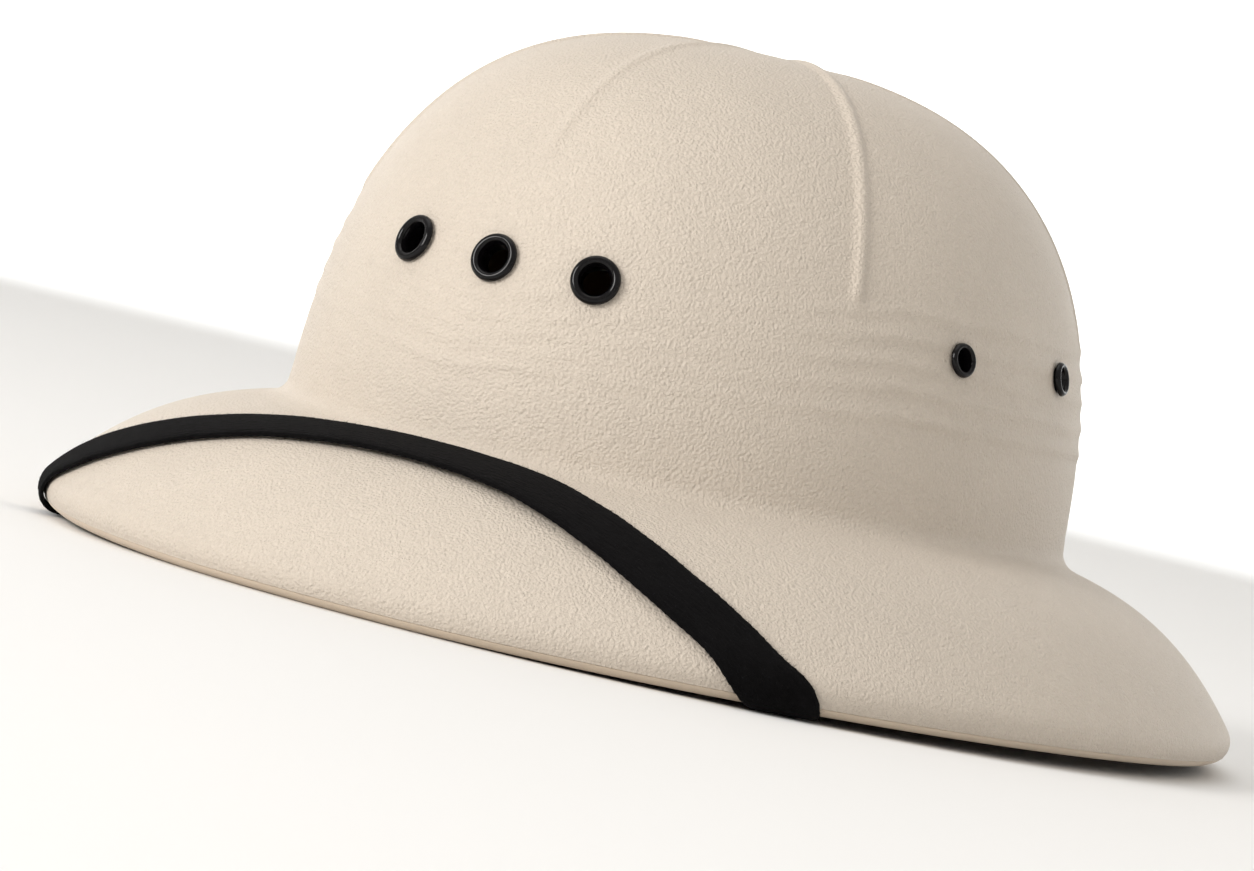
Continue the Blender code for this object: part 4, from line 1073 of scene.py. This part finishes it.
def tab_surface(tab):
    """Three-cornered scrap of folded cloth: a blunt triangle with its tip down, thick with rounded edges.

    Its outline is the nearest of its three edges and of a circle along each ray from its middle.
    """
    section = crown_at(tab.height)._replace(out=np.array([1.0]), up=np.array([0.0]))
    centre = place(tab.angle, section, TAB_INSET)[0]
    inward = -out_normal(tab.angle, section)[0]
    side = np.cross([0.0, 0.0, 1.0], inward)
    side /= np.linalg.norm(side)
    turn = np.linspace(0.0, 2.0 * np.pi, 49)[:-1]
    rays = np.array([np.cos(turn), np.sin(turn)])
    limit = np.full(turn.shape, TAB_CORNER_REACH)
    middle_drop = 0.36 * TAB_DROP
    tip = np.array([0.0, middle_drop - TAB_DROP])
    for edge, corner in (((0.0, 1.0), (0.0, middle_drop)), ((TAB_DROP, -0.5 * TAB_WIDTH), tip),
                         ((-TAB_DROP, -0.5 * TAB_WIDTH), tip)):
        normal = np.array(edge) / np.linalg.norm(edge)
        reach = normal @ rays
        gap = abs(normal @ np.array(corner))
        limit = np.minimum(limit, np.where(reach > 1e-6, gap / np.maximum(reach, 1e-6), 1e9))
    share, height = np.array(TAB_RINGS).T[..., None, None]
    flat = side * np.cos(turn)[:, None] + np.array([0.0, 0.0, 1.0]) * np.sin(turn)[:, None]
    middle = centre - np.array([0.0, 0.0, middle_drop])
    rows = middle + share * limit[:, None] * flat + inward * TAB_THICK * height
    return rows, [rows[0].mean(0), rows[-1].mean(0)]


# ---------------------------------------------------------------- strap

def neighbours(count):
    """Index of the row before and of the row after each of a number of rows, held at the ends."""
    index = np.arange(count)
    return np.maximum(index - 1, 0), np.minimum(index + 1, count - 1)


def surface_walk():
    """Sections down the brim, round the lip and in under it, with distances from the junction."""
    walk = joined(junction_rows(np.linspace(90.0, 12.0, 13)), brim_rows(np.linspace(0.08, LIP_START, 60)),
                  lip_rows(np.linspace(RIM_SLOPE, 180.0, 40)[1:]),
                  flat_section(LIP_CENTRE - np.arange(1, 8) * MM, 0.0, 0.0, -1.0))
    steps = np.hypot(np.diff(walk.half_width), np.diff(walk.height))
    lengths = np.concatenate([[0.0], np.cumsum(steps)])
    return walk, lengths - lengths[12]


def walk_at(walk, lengths, distance):
    """Section at distances along the surface, read straight between its rows."""
    return Section(*[np.interp(distance, lengths, field) for field in walk])


def through(knots, values, wanted):
    """Smooth curve through values at uneven knots: cubic Hermite pieces with chord-weighted slopes."""
    gap = np.diff(knots)[:, None]
    rise = np.diff(values, axis=0) / gap
    between = (rise[:-1] * gap[1:] + rise[1:] * gap[:-1]) / (gap[:-1] + gap[1:])
    slope = np.concatenate([rise[:1], between, rise[-1:]])
    index = np.clip(np.searchsorted(knots, wanted, side="right") - 1, 0, len(knots) - 2)
    span = gap[index]
    share = ((wanted - knots[index]) / span[:, 0])[:, None]
    square, cube = share ** 2, share ** 3
    return (values[index] * (2 * cube - 3 * square + 1) + slope[index] * span * (cube - 2 * square + share)
            + values[index + 1] * (3 * square - 2 * cube) + slope[index + 1] * span * (cube - square))


def strap_over_brim(width, shares):
    """Strap's underside on the brim: places across it, square to its path on the surface."""
    walk, lengths = surface_walk()
    table = np.array(STRAP_OVER_BRIM) * (1.0, MM, MM, MM)
    knots = np.arange(len(table), dtype=float)
    fine = through(knots, table, np.linspace(0.0, knots[-1], 2 * len(table) - 1))
    angle, distance, thick, lift = fine.T
    here = walk_at(walk, lengths, distance)
    reach = np.linalg.norm(place(angle + 0.5, here) - place(angle - 0.5, here), axis=-1)
    before, after = neighbours(len(fine))
    along_angle = (angle[after] - angle[before]) * reach
    along_distance = distance[after] - distance[before]
    length = np.hypot(along_angle, along_distance)
    offset = 0.5 * width * shares[None, :]
    spread_angle = angle[:, None] - offset * (along_distance / length / reach)[:, None]
    spread_distance = distance[:, None] + offset * (along_angle / length)[:, None]
    there = walk_at(walk, lengths, spread_distance)
    base = place(spread_angle, there)
    normal = out_normal(spread_angle, there)
    return base + normal * (STRAP_GAP + lift)[:, None, None], normal, thick


def strap_inside(rows, width, shares):
    """Strap's hidden run: points on its table, its face turned from down to inward as it goes."""
    angle, inset, height, face_in, lean, thick = (np.array(rows) * (1.0, MM, MM, 1.0, 1.0, MM)).T
    points = place(angle, flat_section(-inset, height, 1.0, 0.0))
    before, after = neighbours(len(points))
    tangent = points[after] - points[before]
    tangent /= np.linalg.norm(tangent, axis=-1, keepdims=True)
    down = np.array([0.0, 0.0, -1.0]) * (1.0 - face_in)[:, None]
    facing = down - out_normal(angle, crown_at(BAND_LEVEL)) * face_in[:, None]
    facing = facing + np.array(STRAP_LEAN_TOWARDS) * lean[:, None]
    facing -= tangent * np.einsum("ij,ij->i", facing, tangent)[:, None]
    facing /= np.linalg.norm(facing, axis=-1, keepdims=True)
    across = np.cross(tangent, facing)
    under = points[:, None] + across[:, None] * (0.5 * width * shares)[None, :, None]
    return under, np.repeat(facing[:, None], len(shares), axis=1), thick


def strap_sheet(width):
    """Strap as a smooth sheet: its underside, its facing and its thickness along the whole length."""
    shares = np.linspace(-1.0, 1.0, 9)
    left = strap_inside(STRAP_INSIDE_LEFT, width, shares)
    left = [left[0][::-1, ::-1], left[1][::-1, ::-1], left[2][::-1]]
    over = strap_over_brim(width, shares)
    right = strap_inside(STRAP_INSIDE_RIGHT, width, shares)
    under, facing, thick = (np.concatenate(runs) for runs in zip(left, over, right))
    middle = under[:, len(shares) // 2]
    knots = np.concatenate([[0.0], np.cumsum(np.linalg.norm(np.diff(middle, axis=0), axis=-1))])
    wanted = np.linspace(0.0, knots[-1], STRAP_STEPS)
    count, size = len(under), len(shares) * 3
    flat = [under.reshape(count, -1), facing.reshape(count, -1), thick[:, None]]
    smooth = through(knots, np.concatenate(flat, axis=1), wanted)
    sheet = smooth[:, :size].reshape(-1, len(shares), 3)
    normal = smooth[:, size:2 * size].reshape(-1, len(shares), 3)
    normal /= np.linalg.norm(normal, axis=-1, keepdims=True)
    return shares, wanted, sheet, normal, smooth[:, -1]


def strap_surface(sizes):
    """Ribbon with rounded, faintly notched edges, and the lay of its nap as (across, along, 0)."""
    shares, along, sheet, normal, thick = strap_sheet(sizes.strap_width)
    turn = np.linspace(-np.pi, np.pi, STRAP_SIDES + 1)[:-1]
    across = np.sign(np.cos(turn)) * np.abs(np.cos(turn)) ** 0.32
    level = 0.5 + 0.5 * np.sign(np.sin(turn)) * np.abs(np.sin(turn)) ** 0.5
    notch = 1.0 + 0.016 * (2.0 * ((along / NOTCH_SPACING) % 1.0) - 1.0) + 0.008 * np.sin(along / (2.3 * MM))
    position = (across[None, :] * notch[:, None] + 1.0) * 0.5 * (len(shares) - 1)
    cell = np.clip(np.floor(position).astype(int), 0, len(shares) - 2)
    part = (position - cell)[..., None]
    row = np.arange(len(along))[:, None]
    base = sheet[row, cell] * (1.0 - part) + sheet[row, cell + 1] * part
    rise = normal[row, cell] * (1.0 - part) + normal[row, cell + 1] * part
    nap = 0.04 * MM * (np.sin(along * 5200.0)[:, None] * np.sin(7.0 * turn)[None, :] + 1.0)
    points = base + rise * (thick[:, None] * level[None, :] - nap * (level[None, :] > 0.9))[..., None]
    lay = np.stack([across[None, :] * 0.5 * sizes.strap_width + np.zeros_like(along)[:, None],
                    along[:, None] + np.zeros_like(turn)[None, :],
                    thick[:, None] * level[None, :]], axis=-1)
    return points, lay


def strap_solid(sizes, finish):
    """The ribbon with both ends closed, carrying the lay of its nap."""
    points, lay = strap_surface(sizes)
    lay = np.concatenate([lay.reshape(-1, 3), [lay[0].mean(0), lay[-1].mean(0)]])
    poles = [points[0].mean(0), points[-1].mean(0)]
    return closed_shell("strap", points, poles, finish, {"lay": lay}, sharp=70.0)


def strap_fringe(sizes, finish):
    """Loose fibres along the strap's edges: thin three-sided spikes, leaning and lengthening at random."""
    shares, along, sheet, normal, thick = strap_sheet(sizes.strap_width)
    dice = np.random.default_rng(FIBRE_SEED)
    count = FIBRE_COUNT
    at = dice.uniform(0.06, 0.94, count) * along[-1]
    upper = dice.uniform(size=count) < FIBRE_UPPER_SHARE
    rows = np.clip(np.searchsorted(along, at), 1, len(along) - 2)
    edge = np.where(upper, len(shares) - 1, 0)
    beside = np.where(upper, len(shares) - 2, 1)
    root = sheet[rows, edge]
    outward = root - sheet[rows, beside]
    outward /= np.linalg.norm(outward, axis=-1, keepdims=True)
    up = normal[rows, edge]
    forward = np.cross(outward, up)
    length = sizes.strap_fringe * dice.uniform(0.25, 1.0, count) ** 1.5
    root = root + up * (thick[rows] * dice.uniform(0.25, 0.9, count))[:, None] - outward * 0.15 * MM
    lean = forward * dice.normal(0.0, 0.55, count)[:, None] + up * dice.normal(0.05, 0.35, count)[:, None]
    tip = root + (outward + lean) * length[:, None]
    half = FIBRE_HALF_THICK
    corners = np.stack([root + forward * half, root - forward * half, root + up * half * 1.6, tip], axis=1)
    start = np.arange(count)[:, None] * 4
    sides = np.array([(0, 1, 3), (1, 2, 3), (2, 0, 3), (0, 2, 1)])
    faces = np.concatenate([start + side for side in sides])
    lay = np.stack([np.zeros(4 * count), np.repeat(at, 4), np.zeros(4 * count)], axis=-1)
    return add_mesh("strap_fibres", corners, [faces], finish, {"lay": lay})


# ---------------------------------------------------------------- operators

def settings():
    """The helmet's sizes and colours on this scene."""
    scene = bpy.context.scene
    return scene.helmet_sizes, scene.helmet_colours


class BuildCover(bpy.types.Operator):
    """Crepe-covered crown and brim, pierced for the eyelets"""
    bl_idname = "helmet.build_cover"
    bl_label = "Cover"

    def execute(self, context):
        sizes, colours = settings()
        rows, poles = cover_surface(sizes)
        cover = closed_shell("cover", rows, poles, cover_finish(sizes, colours))
        pierce(cover)
        show(cover, "cover_cloth", "shell")
        return {"FINISHED"}


class BuildLining(bpy.types.Operator):
    """Lining under the brim and inside the crown"""
    bl_idname = "helmet.build_lining"
    bl_label = "Lining"

    def execute(self, context):
        rows, poles = lining_surface()
        lining = closed_shell("lining", rows, poles, lining_finish(settings()[1]))
        pierce(lining)
        show(lining, "edge_cloth", "shell")
        return {"FINISHED"}


class BuildEdging(bpy.types.Operator):
    """Folded edging round the lip"""
    bl_idname = "helmet.build_edging"
    bl_label = "Edging"

    def execute(self, context):
        edging = swept("edging", edging_rows(), EDGING_COLUMNS, edging_finish(settings()[1]))
        show(edging, "edge_cloth", "rim_binding")
        return {"FINISHED"}


class BuildHeadBand(bpy.types.Operator):
    """Hemmed head band and the two tabs sewn to it"""
    bl_idname = "helmet.build_head_band"
    bl_label = "Head band"

    def execute(self, context):
        finish = band_finish(settings()[1])
        band = swept("head_band", band_rows(), BAND_COLUMNS, finish, ripple=0.05 * MM)
        show(band, "band_cloth", "sweatband")
        for tab in TABS:
            rows, poles = tab_surface(tab)
            piece = closed_shell("sewn_tab_" + tab.name, rows, poles, finish)
            show(piece, "band_cloth", "strap_tab_" + tab.name)
        return {"FINISHED"}


class BuildStrap(bpy.types.Operator):
    """Brushed black strap with its loose edge fibres"""
    bl_idname = "helmet.build_strap"
    bl_label = "Strap"

    def execute(self, context):
        sizes, colours = settings()
        finish = strap_finish(colours)
        show(strap_solid(sizes, finish), "strap_cloth", "chin_strap")
        show(strap_fringe(sizes, finish), "strap_cloth")
        return {"FINISHED"}


class BuildEyelets(bpy.types.Operator):
    """Seven enamelled eyelets with rolled flanges"""
    bl_idname = "helmet.build_eyelets"
    bl_label = "Eyelets"

    def execute(self, context):
        finish = enamel_finish(settings()[1])
        for eyelet in EYELETS:
            rings = turned(eyelet, eyelet_profile(eyelet), EYELET_SIDES)
            faces = ring_faces(rings.shape[0], rings.shape[1], closed=True)
            ring = add_mesh("ring_" + eyelet.name, rings, [faces], finish, sharp=50.0)
            show(ring, "black_enamel", "eyelet_" + eyelet.name)
        return {"FINISHED"}


class BuildStage(bpy.types.Operator):
    """Pale floor that rises softly far out, studio lights and the camera"""
    bl_idname = "helmet.build_stage"
    bl_label = "Stage"

    def execute(self, context):
        floor = floor_mesh(floor_finish())
        lights = [soft_light(light) for light in LIGHTS]
        world = bpy.data.worlds.new("soft_room")
        world.use_nodes = True
        background = world.node_tree.nodes["Background"]
        background.inputs["Color"].default_value = ROOM_COLOUR
        background.inputs["Strength"].default_value = ROOM_STRENGTH
        bpy.context.scene.world = world
        bpy.context.scene.view_settings.view_transform = "Standard"
        set_camera()
        return {"FINISHED"}


def floor_mesh(finish):
    """Dish: level to its last flat ring, then an arc of a circle that climbs to a wall."""
    level = np.array(FLOOR_RINGS)
    bend = np.radians(np.linspace(0.0, FLOOR_LAST_BEND, 22)[1:])
    radius = np.concatenate([level, level[-1] + FLOOR_BEND_RADIUS * np.sin(bend)])
    climb = FLOOR_BEND_RADIUS * (1.0 - np.cos(bend))
    height = np.concatenate([np.zeros_like(level), climb]) - FLOOR_CLEARANCE
    turn = np.arange(FLOOR_SIDES) / FLOOR_SIDES * 2.0 * np.pi
    rows = np.stack([radius[:, None] * np.cos(turn), radius[:, None] * np.sin(turn),
                     height[:, None] + np.zeros_like(turn)], axis=-1)
    points = np.concatenate([rows.reshape(-1, 3), [[0.0, 0.0, -FLOOR_CLEARANCE]]])
    faces = [ring_faces(len(radius), len(turn)), pole_faces(len(radius) * len(turn), 0, len(turn))]
    return add_mesh("floor", points, faces, finish)


def soft_light(light):
    """Square soft box turned to its aim."""
    lamp = bpy.data.lights.new(light.name, "AREA")
    lamp.shape = "SQUARE"
    lamp.size = light.size
    lamp.energy = light.power
    lamp.color = light.colour
    made = linked(light.name, lamp)
    made.location = light.place
    back = (Vector(light.place) - Vector(light.aim)).normalized()
    made.rotation_euler = back.to_track_quat("Z", "Y").to_euler()
    return made


def set_camera():
    """Camera turned by azimuth, elevation and roll, with the origin where the photograph has it."""
    azimuth, elevation, roll = (math.radians(a) for a in (CAMERA_AZIMUTH, CAMERA_ELEVATION, CAMERA_ROLL))
    back = np.array([math.sin(azimuth) * math.cos(elevation), -math.cos(azimuth) * math.cos(elevation),
                     math.sin(elevation)])
    right = np.array([math.cos(azimuth), math.sin(azimuth), 0.0])
    up = np.cross(back, right)
    turned_right = right * math.cos(roll) + up * math.sin(roll)
    turned_up = np.cross(back, turned_right)
    focal = CAMERA_LENS_MM / SENSOR_MM * PICTURE_WIDTH
    shift_right = (ORIGIN_IN_PICTURE[0] - 0.5 * PICTURE_WIDTH) / focal * CAMERA_DISTANCE
    shift_up = -(ORIGIN_IN_PICTURE[1] - 0.5 * PICTURE_HEIGHT) / focal * CAMERA_DISTANCE
    stand = back * CAMERA_DISTANCE - turned_right * shift_right - turned_up * shift_up
    data = bpy.data.cameras.new("camera")
    data.lens = CAMERA_LENS_MM
    data.sensor_width = SENSOR_MM
    data.clip_start = 0.05
    data.clip_end = 60.0
    camera = linked("camera", data)
    camera.matrix_world = Matrix([*zip(turned_right, turned_up, back, stand), (0.0, 0.0, 0.0, 1.0)])
    bpy.context.scene.camera = camera


class HelmetPanel(bpy.types.Panel):
    """Sizes, colours and pieces of the helmet"""
    bl_idname = "VIEW3D_PT_sun_helmet"
    bl_label = "Sun Helmet"
    bl_space_type = "VIEW_3D"
    bl_region_type = "UI"
    bl_category = "Sun Helmet"

    def draw(self, context):
        layout = self.layout
        for group in (context.scene.helmet_sizes, context.scene.helmet_colours):
            for label in group.bl_rna.properties.keys():
                if label not in {"rna_type", "name"}:
                    layout.prop(group, label)
        for operator in OPERATORS:
            layout.operator(operator.bl_idname)


OPERATORS = (BuildCover, BuildLining, BuildEdging, BuildHeadBand, BuildStrap, BuildEyelets, BuildStage)
CLASSES = (HelmetSizes, HelmetColours, *OPERATORS, HelmetPanel)


def register():
    """Register the classes and hang the settings on the scene."""
    for entry in CLASSES:
        bpy.utils.register_class(entry)
    bpy.types.Scene.helmet_sizes = bpy.props.PointerProperty(type=HelmetSizes)
    bpy.types.Scene.helmet_colours = bpy.props.PointerProperty(type=HelmetColours)


def unregister():
    """Take the settings and classes away again."""
    del bpy.types.Scene.helmet_colours
    del bpy.types.Scene.helmet_sizes
    for entry in reversed(CLASSES):
        bpy.utils.unregister_class(entry)


def main():
    """Build every piece in order."""
    register()
    bpy.ops.helmet.build_cover()
    bpy.ops.helmet.build_lining()
    bpy.ops.helmet.build_edging()
    bpy.ops.helmet.build_head_band()
    bpy.ops.helmet.build_strap()
    bpy.ops.helmet.build_eyelets()
    bpy.ops.helmet.build_stage()


if __name__ == "__main__":
    main()
